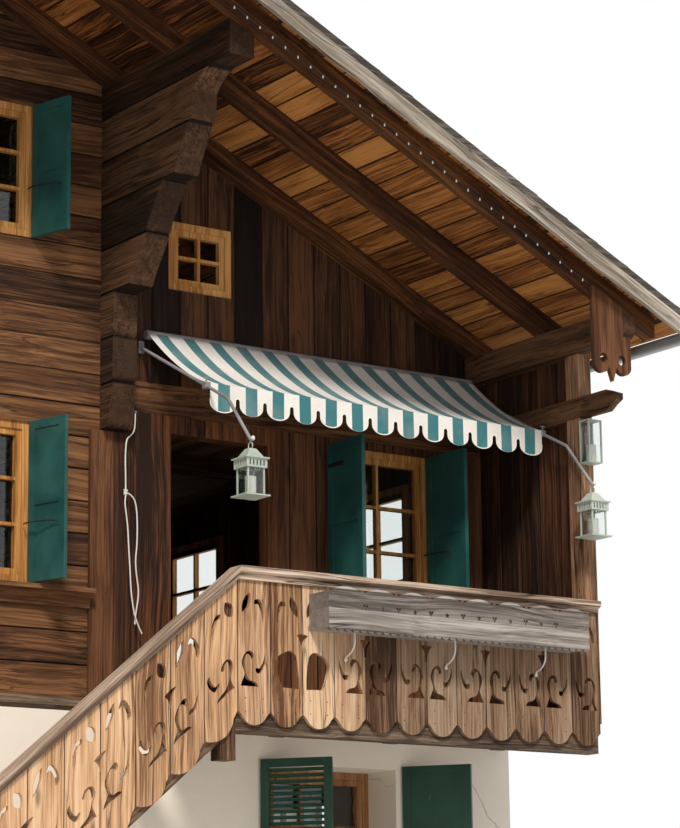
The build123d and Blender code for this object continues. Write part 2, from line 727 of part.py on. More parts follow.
def gallery_boards(start):
    """Upright boards below the lintel from start to the corner, with the window cut through."""
    wall = prism_z(board_outline(start, EAVE_PURLIN_X, FRONT, BOARD_THICKNESS), (FLOOR_Z, lintel_bottom()))
    x = BLOCK_X + GALLERY_WINDOW_START
    z = FLOOR_Z + GALLERY_WINDOW_SILL
    opening = (x, x + GALLERY_WINDOW_WIDTH), (z, z + GALLERY_WINDOW_HEIGHT)
    return wall - timber(opening[0], (FRONT, FRONT + BOARD_THICKNESS), opening[1])


def door_frame():
    """Broad post beside the block, slimmer jamb on the other side and the head between them."""
    y = (FRONT, FRONT + POST_DEPTH)
    frame = timber((BLOCK_X, doorway_x()[1] + DOOR_JAMB_WIDTH), y, (FLOOR_Z, lintel_bottom()))
    return frame - timber(doorway_x(), y, (FLOOR_Z, FLOOR_Z + DOORWAY_HEIGHT))


def doorway_x():
    start = BLOCK_X + DOOR_POST_START + DOOR_POST_WIDTH
    return start, start + DOORWAY_WIDTH


def lintel_bottom():
    return CEILING_Z - LINTEL_HEIGHT


def lintel():
    return timber((BLOCK_X, EAVE_PURLIN_X), (FRONT, FRONT + POST_DEPTH), (lintel_bottom(), CEILING_Z))


def gallery_front_boards():
    return gallery_boards(doorway_x()[1] + DOOR_JAMB_WIDTH)


def gallery_gable_boards():
    """Upright boards from the lintel to the roof, with the small attic window cut through."""
    wall = prism_z(board_outline(BLOCK_X, EAVE_PURLIN_X, FRONT, BOARD_THICKNESS),
                   (CEILING_Z, deck_line(BLOCK_X)))
    under_roof = [(BLOCK_X, CEILING_Z), (EAVE_PURLIN_X, CEILING_Z),
                  (EAVE_PURLIN_X, deck_line(EAVE_PURLIN_X)), (BLOCK_X, deck_line(BLOCK_X))]
    wall &= prism_y(under_roof, (FRONT, FRONT + BOARD_THICKNESS))
    wall -= eave_purlin()
    x = BLOCK_X + ATTIC_WINDOW_START
    z = UPPER_FLOOR_Z + ATTIC_WINDOW_SILL
    return wall - timber((x, x + ATTIC_WINDOW_WIDTH), (FRONT, FRONT + BOARD_THICKNESS),
                         (z, z + ATTIC_WINDOW_HEIGHT))


def side_window_centres():
    step = HOUSE_DEPTH / SIDE_WINDOW_COUNT
    return [FRONT + step * (index + 0.5) for index in range(SIDE_WINDOW_COUNT)]


def gallery_side_wall():
    """Upright boards along the gallery's long side, with a row of windows."""
    plan = [(EAVE_PURLIN_X + BOARD_THICKNESS - depth, place)
            for place, depth in grooved_edge(FRONT, -FRONT, BOARD_WIDTH, BOARD_JOINT)]
    plan += [(EAVE_PURLIN_X, -FRONT), (EAVE_PURLIN_X, FRONT)]
    wall = prism_z(plan, (FLOOR_Z, roof_line(EAVE_PURLIN_X)))
    under_roof = [(EAVE_PURLIN_X, FLOOR_Z), (GALLERY_X, FLOOR_Z),
                  (GALLERY_X, roof_line(GALLERY_X)), (EAVE_PURLIN_X, roof_line(EAVE_PURLIN_X))]
    wall &= prism_y(under_roof, (FRONT, -FRONT))
    z = FLOOR_Z + GALLERY_WINDOW_SILL
    for y in side_window_centres():
        span = (y - GALLERY_WINDOW_WIDTH / 2, y + GALLERY_WINDOW_WIDTH / 2)
        wall -= timber((EAVE_PURLIN_X, GALLERY_X), span, (z, z + GALLERY_WINDOW_HEIGHT))
    return wall


def gallery_back_boards():
    """The back of a gallery has the window but no doorway."""
    return gallery_boards(BLOCK_X)


def upper_floors():
    """Boarded ceilings of the living storey, which are the attic floors."""
    inner_y = -FRONT - LOG_THICKNESS
    gallery_y = -FRONT - BOARD_THICKNESS
    room = timber((-ROOM_EDGE_X, ROOM_EDGE_X), (-inner_y, inner_y), (CEILING_Z, UPPER_FLOOR_Z))
    gallery = timber((BLOCK_X, EAVE_PURLIN_X), (-gallery_y, gallery_y), (CEILING_Z, UPPER_FLOOR_Z))
    return [room] + left_and_right([gallery])


def ceiling_beams():
    """Cross beams under each gallery's ceiling, between log wall and outer boards."""
    half = CEILING_BEAM_WIDTH / 2
    z = (CEILING_Z - CEILING_BEAM_HEIGHT, CEILING_Z)
    step = HOUSE_DEPTH / (CEILING_BEAM_COUNT + 1)
    stations = [FRONT + step * (index + 1) for index in range(CEILING_BEAM_COUNT)]
    return [timber((BLOCK_X, EAVE_PURLIN_X), (y - half, y + half), z) for y in stations]


def window_cornice():
    """Moulded board under the row of lower windows, stepping in towards its foot."""
    top = FLOOR_Z + LOWER_WINDOW_SILL - WINDOW_SETBACK
    outline = [(FRONT, top - CORNICE_HEIGHT), (out(CORNICE_FOOT_REACH), top - CORNICE_HEIGHT),
               (out(CORNICE_FOOT_REACH), top - CORNICE_SLOPE_DROP),
               (out(CORNICE_NECK_REACH), top - CORNICE_NECK_DROP),
               (out(CORNICE_NECK_REACH), top - CORNICE_EDGE), (out(CORNICE_REACH), top - CORNICE_EDGE),
               (out(CORNICE_REACH), top), (FRONT, top)]
    edge = BLOCK_X - CORNER_PLANK_WIDTH
    return prism_x(outline, (-edge, edge))


def balcony_span():
    """X range of the right balcony's front, a whole number of pairs of boards wide."""
    right = GALLERY_X - BALCONY_END_SETBACK
    pairs = round((right - BLOCK_X) / (2 * BALCONY_BOARD_WIDTH))
    return right - 2 * pairs * BALCONY_BOARD_WIDTH, right


def balcony_floor():
    x = balcony_span()
    edge = BALCONY_DEPTH - BALCONY_BOARD_THICKNESS
    return timber(x, (out(BASE_PROUD + SEAT_GAP), out(edge)),
                  (BASE_HEIGHT - BALCONY_FLOOR_THICKNESS, BASE_HEIGHT))


def balcony_beams():
    """Cantilevered joists and the deeper beam along their ends."""
    x = balcony_span()
    top = BASE_HEIGHT - BALCONY_FLOOR_THICKNESS
    edge = BALCONY_DEPTH - BALCONY_BOARD_THICKNESS
    frame = timber(x, (out(edge), out(edge - BALCONY_BEAM_WIDTH)), (top - BALCONY_BEAM_HEIGHT, top))
    step = (x[1] - x[0] - BALCONY_JOIST_WIDTH) / (BALCONY_JOIST_COUNT - 1)
    for index in range(BALCONY_JOIST_COUNT):
        left = x[0] + index * step
        joist = (left, left + BALCONY_JOIST_WIDTH)
        frame += timber(joist, (out(BASE_PROUD), out(edge)), (top - BALCONY_JOIST_HEIGHT, top))
    return frame


def scroll_cut():
    """Scroll with a round head on a flat foot, as curves of (across, height) in one board."""
    return [[(24, 260), (168, 260)],
            [(168, 260), (136, 292), (90, 308), (70, 350), (64, 410), (80, 478), (104, 462)],
            [(104, 462), (118, 441), (133, 458)],
            [(133, 458), (122, 490), (94, 501)],
            [(94, 501), (52, 470), (36, 404), (54, 340), (40, 300), (24, 260)]]


def hook_cut():
    """Hook with a round head and a pointed tip."""
    return [[(176, 384), (146, 384), (150, 356)],
            [(150, 356), (178, 350), (208, 382), (221, 489)],
            [(221, 489), (198, 416), (176, 384)]]


def comma_cut():
    """Hanging comma below the rail, its round head uppermost."""
    return [[(166, 824), (136, 824), (140, 848)],
            [(140, 848), (172, 857), (203, 810), (201, 701)],
            [(201, 701), (186, 780), (166, 824)]]


def crown_cut():
    """One leaf of the crown below the rail, beside a joint between a pair of boards."""
    return [[(38, 755), (84, 790), (101, 896)],
            [(101, 896), (58, 860), (38, 755)]]


def trumpet_cut():
    """Trumpet cut half out of each board of a pair."""
    return [[(-47, 632), (0, 642), (47, 632)],
            [(47, 632), (20, 590), (8, 520)],
            [(8, 520), (-8, 520)],
            [(-8, 520), (-20, 590), (-47, 632)]]


def broken_cut():
    """Ragged hole where the scrolls of an old board have broken out."""
    return [[(30, 262), (170, 268)],
            [(170, 268), (196, 330), (222, 430)],
            [(222, 430), (206, 470), (150, 505)],
            [(150, 505), (96, 520), (52, 486)],
            [(52, 486), (34, 380), (30, 262)]]


def cut_face(curves, joint, hand, line, plane_y):
    """Face of one cut-out; line gives the height of the boards' tongues at each x."""
    edges = []
    for curve in curves:
        points = [(joint + hand * across, plane_y, line(joint + hand * across) + height)
                  for across, height in curve]
        edges.append(Line(*points) if len(points) == 2 else Spline(*points))
    return make_face(edges)


def fretwork(span, line, broken=()):
    """Cut-outs of a run of boards, counted in pairs from its right end; broken pairs have lost theirs."""
    y = out(BALCONY_DEPTH)
    faces = []
    pairs = round((span[1] - span[0]) / (2 * BALCONY_BOARD_WIDTH))
    for joint in [span[1] - 2 * BALCONY_BOARD_WIDTH * index for index in range(pairs + 1)]:
        hands = [hand for hand in (-1, 1) if span[0] <= joint + hand * BALCONY_BOARD_WIDTH <= span[1]]
        is_broken = round((span[1] - joint) / (2 * BALCONY_BOARD_WIDTH)) in broken
        scrolls = [broken_cut()] if is_broken else [scroll_cut(), hook_cut()]
        for hand in hands:
            faces += [cut_face(curves, joint, hand, line, y)
                      for curves in scrolls + [comma_cut(), crown_cut()]]
        if len(hands) == 2:
            faces.append(cut_face(trumpet_cut(), joint, 1, line, y))
    return [extrude(face, amount=BALCONY_BOARD_THICKNESS, dir=(0, 1, 0)) for face in faces]


def board_feet(span, line, tops):
    """Outline of a run of boards: its top corners, then one rounded tongue and two small cusps a board."""
    y = out(BALCONY_DEPTH)
    start = (span[1], y, line(span[1]) + WAVE_RISE)
    edges = [Line(start, (span[1], y, tops[1])), Line((span[1], y, tops[1]), (span[0], y, tops[0]))]
    edges.append(Line((span[0], y, tops[0]), (span[0], y, line(span[0]) + WAVE_RISE)))
    for index in range(round((span[1] - span[0]) / BALCONY_BOARD_WIDTH)):
        right = span[1] - index * BALCONY_BOARD_WIDTH
        left = right - BALCONY_BOARD_WIDTH
        middle = (right + left) / 2
        hollow = [(right, WAVE_RISE), (right - WAVE_HOLLOW, WAVE_CUSP), (middle, 0),
                  (left + WAVE_HOLLOW, WAVE_CUSP), (left, WAVE_RISE)]
        points = [(x, y, line(x) + rise) for x, rise in hollow]
        edges += [Line(points[0], points[1]), ThreePointArc(*points[1:4]), Line(points[3], points[4])]
    return extrude(make_face(edges), amount=BALCONY_BOARD_THICKNESS, dir=(0, 1, 0))


def boards_top():
    return BASE_HEIGHT + RAIL_HEIGHT - RAIL_THICKNESS


def balcony_foot(x):
    return BASE_HEIGHT - WAVE_DROP


def balcony_boards(broken=()):
    """Upright boards of the balcony front with their fretwork."""
    boards = board_feet(balcony_span(), balcony_foot, (boards_top(), boards_top()))
    return boards - fretwork(balcony_span(), balcony_foot, broken)


def rail_outline(top):
    """Cross-section of the moulded handrail as (y, z) points."""
    middle = BALCONY_DEPTH - BALCONY_BOARD_THICKNESS / 2
    half, neck = RAIL_WIDTH / 2, RAIL_NECK_WIDTH / 2
    low = top - RAIL_THICKNESS
    front = [(out(middle + neck), low), (out(middle + neck), top - RAIL_SLOPE_DROP),
             (out(middle + half), top - RAIL_EDGE), (out(middle + half), top)]
    return front + [(2 * out(middle) - y, z) for y, z in front[::-1]]


def balcony_rail():
    x0, x1 = balcony_span()
    return prism_x(rail_outline(BASE_HEIGHT + RAIL_HEIGHT), (x0, x1)) - wing_post()


def newel():
    """Post at the balcony's inner end, inside the boards, hanging below the floor beam."""
    x0 = balcony_span()[0]
    edge = BALCONY_DEPTH - BALCONY_BOARD_THICKNESS
    fall = NEWEL_SIZE * stair_slope()
    outline = [(x0 - NEWEL_SIZE, BASE_HEIGHT - NEWEL_DROP), (x0, BASE_HEIGHT - NEWEL_DROP),
               (x0, boards_top()),
               (x0 - NEWEL_SIZE, boards_top() - fall)]
    return prism_y(outline, (out(edge), out(edge - NEWEL_SIZE)))


def wing_wall():
    """Upright boards that close the balcony's outer end, between house corner and post."""
    reach = BALCONY_DEPTH - BALCONY_BOARD_THICKNESS - WING_POST_DEPTH
    plan = [(x, y) for y, x in board_outline(out(reach), FRONT, EAVE_PURLIN_X, BOARD_THICKNESS)]
    wall = prism_z(plan, (BASE_HEIGHT, roof_line(EAVE_PURLIN_X)))
    under_roof = [(EAVE_PURLIN_X, BASE_HEIGHT), (GALLERY_X, BASE_HEIGHT),
                  (GALLERY_X, roof_line(GALLERY_X)), (EAVE_PURLIN_X, roof_line(EAVE_PURLIN_X))]
    wall &= prism_y(under_roof, (out(reach), FRONT))
    ring = sill_ring()
    return wall - ring - wing_beam()


def wing_post():
    edge = BALCONY_DEPTH - BALCONY_BOARD_THICKNESS
    y = (out(edge), out(edge - WING_POST_DEPTH))
    return timber((GALLERY_X - WING_POST_WIDTH, GALLERY_X), y, (BASE_HEIGHT, EAVE_PURLIN_Z)) - wing_beam()


def wing_beam():
    """Second beam under the eave, from the wall out past the post, with a stepped nose."""
    top = FLOOR_Z + WING_BEAM_TOP
    reach = BALCONY_DEPTH + WING_BEAM_REACH
    low = top - WING_BEAM_HEIGHT
    outline = [(FRONT, low), (out(reach - WING_BEAM_CUT), low),
               (out(reach - WING_BEAM_STEP), low + WING_BEAM_RISE),
               (out(reach), top - 2 * WING_BEAM_DROP), (out(reach), top - WING_BEAM_DROP),
               (out(reach - WING_BEAM_CUT), top),
               (FRONT, top)]
    return prism_x(outline, (EAVE_PURLIN_X - WING_BEAM_WIDTH, EAVE_PURLIN_X))


def pendant_board():
    """Carved board on the rake rafter beside the eave purlin's end, with two holes and a pointed foot."""
    centre = EAVE_PURLIN_X - PENDANT_SETBACK
    half = PENDANT_WIDTH / 2
    y = out(rake_face())
    tip = EAVE_PURLIN_Z - PENDANT_DROP
    lobe = tip + PENDANT_POINT
    top_left, top_right = roof_line(centre - half), roof_line(centre + half)
    edges = [Polyline((centre + half, y, lobe), (centre + half, y, top_right), (centre - half, y, top_left),
                      (centre - half, y, lobe))]
    for side in (-1, 1):
        outer, inner = (centre + side * half, y, lobe), (centre + side * PENDANT_HOLE_RADIUS, y, lobe)
        middle = (centre + side * (half + PENDANT_HOLE_RADIUS) / 2, y, lobe - PENDANT_LOBE)
        edges += [ThreePointArc(outer, middle, inner), Line(inner, (centre, y, tip))]
    board = extrude(make_face(edges), amount=PENDANT_THICKNESS, dir=(0, -1, 0))
    hole = Rot(90, 0, 0) * Cylinder(PENDANT_HOLE_RADIUS, 2 * PENDANT_THICKNESS)
    for side in (-1, 1):
        board -= Pos(centre + side * half / 2, y, lobe + PENDANT_HOLE_RISE) * hole
    return board - purlin(eave_purlin_x(), EAVE_PURLIN_Z, VERGE_OVERHANG)


def stair_slope():
    return math.tan(math.radians(STAIR_SLOPE_DEG))


def stair_head():
    """X of the stair's head, where the newel's outer face is."""
    return balcony_span()[0] - NEWEL_SIZE


def riser_count():
    return round(BASE_HEIGHT / STEP_RISE)


def stair_foot():
    """X of the stair's foot on the ground."""
    return stair_head() - BASE_HEIGHT / stair_slope()


def stair_sides():
    """Outer and inner stringer's y ranges."""
    outer = BALCONY_DEPTH - BALCONY_BOARD_THICKNESS
    return ((out(outer), out(outer - STRINGER_THICKNESS)),
            (out(BASE_PROUD + STRINGER_THICKNESS), out(BASE_PROUD)))


def stair_stringers():
    """Two sloping planks, cut level on the ground and under the landing."""
    slope, head, foot = stair_slope(), stair_head(), stair_foot()
    drop = STRINGER_DEPTH / math.cos(math.radians(STAIR_SLOPE_DEG))
    nose = STRINGER_NOSE
    outline = [(foot, 0), (foot + (drop - nose) / slope, 0), (head, BASE_HEIGHT + nose - drop),
               (head, BASE_HEIGHT), (head - nose / slope, BASE_HEIGHT), (foot, nose)]
    return [prism_y(outline, y) for y in stair_sides()]


def stair_treads():
    outer, inner = stair_sides()
    rise = BASE_HEIGHT / riser_count()
    going = rise / stair_slope()
    treads = []
    for index in range(1, riser_count()):
        front = stair_foot() + index * going - TREAD_NOSING
        treads.append(timber((front, front + TREAD_NOSING + going), (outer[1], inner[0]),
                             (index * rise - TREAD_THICKNESS, index * rise)))
    return treads


def stair_boards_foot(x):
    """Height of the tongues of the stair's boards, which follow the slope."""
    return balcony_foot(x) - (balcony_span()[0] - x) * stair_slope()


def stair_boards():
    """Upright boards of the stair's outer side, cut to its slope, down to the ground at its foot."""
    right = balcony_span()[0]
    count = int((right - stair_foot()) / BALCONY_BOARD_WIDTH)
    span = (right - count * BALCONY_BOARD_WIDTH, right)
    tops = (boards_top() - (right - span[0]) * stair_slope(), boards_top())
    boards = board_feet(span, stair_boards_foot, tops) - fretwork(span, stair_boards_foot)
    ground = timber((span[0] - BALCONY_DEPTH, right), (out(2 * BALCONY_DEPTH), FRONT), (0, -2 * BASE_HEIGHT))
    return boards - ground


def stair_rail():
    """The same moulded rail down the slope of the stair."""
    angle = math.radians(STAIR_SLOPE_DEG)
    right = balcony_span()[0]
    start = [(right, y, z) for y, z in rail_outline(BASE_HEIGHT + RAIL_HEIGHT)]
    length = (right - stair_foot()) / math.cos(angle)
    return extrude(make_face(Polyline(*start, close=True)), amount=length,
                   dir=(-math.cos(angle), 0, -math.sin(angle)))


def foot_newel():
    """Post at the foot of the stair, standing on the ground."""
    outer = BALCONY_DEPTH - BALCONY_BOARD_THICKNESS
    top = BASE_HEIGHT + RAIL_HEIGHT - (balcony_span()[0] - stair_foot()) * stair_slope()
    return timber((stair_foot() - NEWEL_SIZE, stair_foot()), (out(outer), out(outer - NEWEL_SIZE)), (0, top))


def valance(x, y, top):
    """Hanging edge of the cloth with deep round scallops and narrow notches between them."""
    low = top - VALANCE_HEIGHT
    notch = low + SCALLOP_DEPTH - SCALLOP_NOTCH / 2
    step = (x[1] - x[0]) / VALANCE_SCALLOPS
    edges = [Line((x[1], y, notch), (x[1], y, top)), Line((x[1], y, top), (x[0], y, top)),
             Line((x[0], y, top), (x[0], y, notch))]
    for index in range(VALANCE_SCALLOPS):
        right = x[1] - index * step - (SCALLOP_NOTCH / 2 if index else 0)
        left = x[1] - (index + 1) * step + (SCALLOP_NOTCH / 2 if index < VALANCE_SCALLOPS - 1 else 0)
        middle = (right + left) / 2
        shoulder = low + SCALLOP_ROUND
        edges += [Line((right, y, notch), (right, y, shoulder)), Line((left, y, shoulder), (left, y, notch)),
                  ThreePointArc((right, y, shoulder), (middle, y, low), (left, y, shoulder))]
        if index < VALANCE_SCALLOPS - 1:
            edges.append(ThreePointArc((left, y, notch),
                                       (left - SCALLOP_NOTCH / 2, y, notch + SCALLOP_NOTCH / 2),
                                       (left - SCALLOP_NOTCH, y, notch)))
    return extrude(make_face(edges), amount=AWNING_CLOTH, dir=(0, -1, 0))


def awning_x():
    start = BLOCK_X + AWNING_START
    return start, start + AWNING_WIDTH


def awning_points():
    """Top line of the cloth from roller to front bar as (y, z), with its sag."""
    roller = (out(2 * AWNING_ROLLER_RADIUS + SEAT_GAP), FLOOR_Z + AWNING_ROLLER_HEIGHT)
    bar = (out(AWNING_BAR_OUT + AWNING_BAR_RADIUS + SEAT_GAP), FLOOR_Z + AWNING_BAR_HEIGHT)
    middle = ((roller[0] + bar[0]) / 2, (roller[1] + bar[1]) / 2 - AWNING_SAG)
    return roller, middle, bar


def awning_cloth():
    """Sagging cloth with a scalloped valance, as one closed sheet."""
    x0, x1 = awning_x()
    roller, middle, bar = awning_points()
    upper = ThreePointArc(*[(x0, y, z) for y, z in (roller, middle, bar)])
    lower = ThreePointArc(*[(x0, y, z + AWNING_CLOTH) for y, z in (roller, middle, bar)])
    ends = [Line(upper @ 0, lower @ 0), Line(upper @ 1, lower @ 1)]
    top = extrude(make_face([upper, lower] + ends), amount=x1 - x0, dir=(1, 0, 0))
    return top + valance((x0, x1), bar[0], bar[1] + AWNING_CLOTH)


def arm_tip():
    """Where the awning's arms end, as (distance out, height), and the bend before it."""
    pivot_z = FLOOR_Z + ARM_PIVOT_HEIGHT
    bar_z = FLOOR_Z + AWNING_BAR_HEIGHT - AWNING_BAR_RADIUS
    bend = (ARM_BEND_OUT, pivot_z - (pivot_z - bar_z) / AWNING_BAR_OUT * ARM_BEND_OUT)
    return bend, (ARM_TIP_OUT, bend[1] - ARM_TIP_DROP)


def awning_roller():
    x0, x1 = awning_x()
    centre = ((x0 + x1) / 2, out(AWNING_ROLLER_RADIUS + SEAT_GAP), FLOOR_Z + AWNING_ROLLER_HEIGHT)
    return Pos(*centre) * Rot(0, 90, 0) * Cylinder(AWNING_ROLLER_RADIUS - SEAT_GAP, x1 - x0)


def awning_arm_x():
    x0, x1 = awning_x()
    return x0 - 2 * ARM_RADIUS, x1 + 2 * ARM_RADIUS


def awning_bar():
    x0, x1 = awning_x()
    y, z = out(AWNING_BAR_OUT), FLOOR_Z + AWNING_BAR_HEIGHT - AWNING_BAR_RADIUS
    return Pos((x0 + x1) / 2, y, z) * Rot(0, 90, 0) * Cylinder(AWNING_BAR_RADIUS, x1 - x0)


def awning_arms():
    """Bent tubes that pivot on wall brackets and carry the front bar."""
    pivot_z = FLOOR_Z + ARM_PIVOT_HEIGHT
    bend, tip = arm_tip()
    arms = []
    for x in awning_arm_x():
        points = [(x, out(reach), z) for reach, z in ((ARM_BRACKET_THICKNESS / 2, pivot_z), bend, tip)]
        path = FilletPolyline(*points, radius=ARM_BEND_RADIUS)
        section = Plane(origin=path @ 0, z_dir=path % 0) * Circle(ARM_RADIUS)
        bracket = timber((x - ARM_BRACKET_WIDTH / 2, x + ARM_BRACKET_WIDTH / 2),
                         (FRONT, out(ARM_BRACKET_THICKNESS)),
                         (pivot_z - ARM_BRACKET_HEIGHT / 2, pivot_z + ARM_BRACKET_HEIGHT / 2))
        arms.append(sweep(section, path) + bracket)
    return arms


def square_plate(width, low, high):
    return timber((-width / 2, width / 2), (-width / 2, width / 2), (low, high))


def corner_posts(width, depth, low, high):
    """Four slim posts in the corners of a box of the given width and depth around the Z axis."""
    posts = []
    for x in (-width / 2, width / 2 - LANTERN_POST):
        for y in (-depth / 2, depth / 2 - LANTERN_POST):
            posts.append(timber((x, x + LANTERN_POST), (y, y + LANTERN_POST), (low, high)))
    return posts


def lantern_levels():
    """Heights of a hanging lantern's parts below the top of its ring, from the lid down to the base."""
    lid = -2 * LANTERN_RING_RADIUS - LANTERN_CAP
    collar = lid - LANTERN_PLATE
    body = collar - LANTERN_COLLAR
    base = body - LANTERN_BODY
    return lid, collar, body, base


def lantern():
    """Square lantern with wide base, slotted collar, lid, hipped cap and ring; ring top at the origin."""
    lid, collar, body, base = lantern_levels()
    ring = Circle(LANTERN_RING_RADIUS) - Circle(LANTERN_RING_RADIUS - LANTERN_WIRE)
    ring_end = Plane((-LANTERN_WIRE / 2, 0, -LANTERN_RING_RADIUS - SEAT_GAP), x_dir=(0, 1, 0),
                     z_dir=(1, 0, 0))
    frame = extrude(ring_end * ring, LANTERN_WIRE)
    frame += loft([Pos(0, 0, lid) * Rectangle(LANTERN_WIDTH, LANTERN_WIDTH),
                   Pos(0, 0, lid + LANTERN_CAP + LANTERN_WIRE)
                   * Rectangle(LANTERN_CAP_TOP, LANTERN_CAP_TOP)])
    frame += square_plate(LANTERN_LID_WIDTH, collar, lid)
    band = square_plate(LANTERN_COLLAR_WIDTH, body, collar)
    band -= square_plate(LANTERN_COLLAR_WIDTH - 2 * LANTERN_WALL, body, collar)
    pitch = LANTERN_WIDTH / LANTERN_SLOTS
    for index in range(LANTERN_SLOTS):
        along = (index + 0.5) * pitch - LANTERN_WIDTH / 2
        for turn in (0, 90):
            slot = Box(LANTERN_SLOT_WIDTH, 2 * LANTERN_WIDTH, LANTERN_COLLAR - 2 * LANTERN_POST)
            band -= Rot(0, 0, turn) * Pos(along, 0, (body + collar) / 2) * slot
    frame += band
    frame += square_plate(LANTERN_COLLAR_WIDTH, body, body + LANTERN_WALL) - square_plate(
        LANTERN_WIDTH - 2 * LANTERN_POST, body, body + LANTERN_WALL)
    frame += corner_posts(LANTERN_WIDTH, LANTERN_WIDTH, base, body)
    return frame + square_plate(LANTERN_BASE_WIDTH, base - LANTERN_PLATE, base)


def wall_lantern():
    """Upright box lantern on the front of the wing post, its foot's middle at the origin."""
    top = WALL_LANTERN_HEIGHT
    box = corner_posts(WALL_LANTERN_WIDTH, WALL_LANTERN_DEPTH, 0, top)
    edge_x = (-WALL_LANTERN_WIDTH / 2, WALL_LANTERN_WIDTH / 2)
    edge_y = (-WALL_LANTERN_DEPTH / 2, WALL_LANTERN_DEPTH / 2)
    frame = timber(edge_x, edge_y, (0, LANTERN_PLATE)) + timber(edge_x, edge_y, (top - LANTERN_PLATE, top))
    return frame + box


def lantern_places():
    """Tops of the hanging lanterns' rings under the tips of the awning's arms."""
    bend, tip = arm_tip()
    run, drop = tip[0] - bend[0], bend[1] - tip[1]
    share = ARM_RADIUS / math.hypot(run, drop)
    return [Pos(x, out(tip[0] - share * drop), tip[1] - share * run) for x in awning_arm_x()]


def wall_lantern_place():
    edge = BALCONY_DEPTH - BALCONY_BOARD_THICKNESS
    return Pos(GALLERY_X - WALL_LANTERN_SETBACK, out(edge + WALL_LANTERN_DEPTH / 2),
               FLOOR_Z + WALL_LANTERN_FOOT)


def lanterns():
    return [place * lantern() for place in lantern_places()] + [wall_lantern_place() * wall_lantern()]


def candles():
    """One candle on the base of each lantern."""
    base = lantern_levels()[3]
    candle = Pos(0, 0, CANDLE_HEIGHT / 2) * Cylinder(CANDLE_RADIUS, CANDLE_HEIGHT)
    hung = [place * Pos(0, 0, base) * candle for place in lantern_places()]
    return hung + [wall_lantern_place() * Pos(0, 0, LANTERN_PLATE) * candle]


def heart(x, y, z):
    """Heart-shaped cut-out standing on its point."""
    half = FLOWER_BOX_CUT / 2
    low, shoulder = (x, y, z - half), z + half / 2
    edges = [Line(low, (x + half, y, shoulder)), Line((x - half, y, shoulder), low)]
    for hand in (1, -1):
        edges.append(ThreePointArc((x + hand * half, y, shoulder), (x + hand * half / 2, y, z + half),
                                   (x, y, shoulder)))
    return make_face(edges)


def star(x, y, z):
    """Cut-out with STAR_POINTS points, one of them up."""
    points = []
    for index in range(2 * STAR_POINTS):
        radius = FLOWER_BOX_CUT / 2 if index % 2 == 0 else FLOWER_BOX_CUT / 4
        angle = math.radians(90 + 180 / STAR_POINTS * index)
        points.append((x + radius * math.cos(angle), y, z + radius * math.sin(angle)))
    return make_face(Polyline(*points, close=True))


def flower_box_front(x, y, z):
    """Front board with scallops and cusps above, round teeth below and a row of stars and hearts."""
    edges = [Line((x[0], y, z[0]), (x[0], y, z[1])), Line((x[1], y, z[0]), (x[1], y, z[1]))]
    scallop = (x[1] - x[0]) / FLOWER_BOX_SCALLOPS
    for index in range(FLOWER_BOX_SCALLOPS):
        left = x[0] + index * scallop
        right, cusp = left + scallop, FLOWER_BOX_CUSP
        points = [(left, 0), (left + cusp, -cusp), (left + scallop / 2, cusp), (right - cusp, -cusp),
                  (right, 0)]
        points = [(a, y, z[1] + b) for a, b in points]
        edges += [Line(*points[:2]), ThreePointArc(*points[1:4]), Line(*points[3:])]
    tooth = (x[1] - x[0]) / FLOWER_BOX_TEETH
    for index in range(FLOWER_BOX_TEETH):
        left = x[0] + index * tooth
        edges.append(ThreePointArc((left, y, z[0]), (left + tooth / 2, y, z[0] - TOOTH_DEPTH_SHARE * tooth),
                                   (left + tooth, y, z[0])))
    board = extrude(make_face(edges), amount=FLOWER_BOX_WALL, dir=(0, 1, 0))
    first = (x[0] + x[1] - (FLOWER_BOX_CUTS - 1) * FLOWER_BOX_CUT_PITCH) / 2
    height = z[1] - FLOWER_BOX_CUT_DROP
    for index in range(FLOWER_BOX_CUTS):
        place = first + index * FLOWER_BOX_CUT_PITCH
        face = star(place, y, height) if index % 2 else heart(place, y, height)
        board -= extrude(face, amount=FLOWER_BOX_WALL, dir=(0, 1, 0))
    return board


def flower_box():
    """Open trough on the balcony's front with a carved front board."""
    x0 = balcony_span()[0] + FLOWER_BOX_START
    x = (x0, x0 + FLOWER_BOX_LENGTH)
    front = out(BALCONY_DEPTH + FLOWER_BOX_DEPTH)
    top = BASE_HEIGHT + FLOWER_BOX_TOP
    low = top - FLOWER_BOX_HEIGHT
    trough = timber(x, (out(BALCONY_DEPTH), front + FLOWER_BOX_WALL), (low, top - FLOWER_BOX_CUSP))
    inner_x = (x[0] + FLOWER_BOX_WALL, x[1] - FLOWER_BOX_WALL)
    inner_y = (out(BALCONY_DEPTH) - FLOWER_BOX_WALL, front + FLOWER_BOX_WALL)
    trough -= timber(inner_x, inner_y, (low + FLOWER_BOX_WALL, top))
    return trough + flower_box_front(x, front, (low, top))


def cord_tube(route, distance):
    """Round tube this far from the wall along (x, height) points, its arcs as large as the runs allow."""
    points = [Vector(x, out(distance), z) for x, z in route]
    radii = []
    for before, corner, after in zip(points, points[1:], points[2:]):
        first, second = corner - before, after - corner
        turn = math.radians(first.get_angle(second))
        radii.append(CORD_ARC_SHARE * min(first.length, second.length) / math.tan(turn / 2))
    path = FilletPolyline(*points, radius=radii)
    section = Plane(origin=path @ 0, z_dir=path % 0) * Circle(CORD_RADIUS)
    return sweep(section, path)


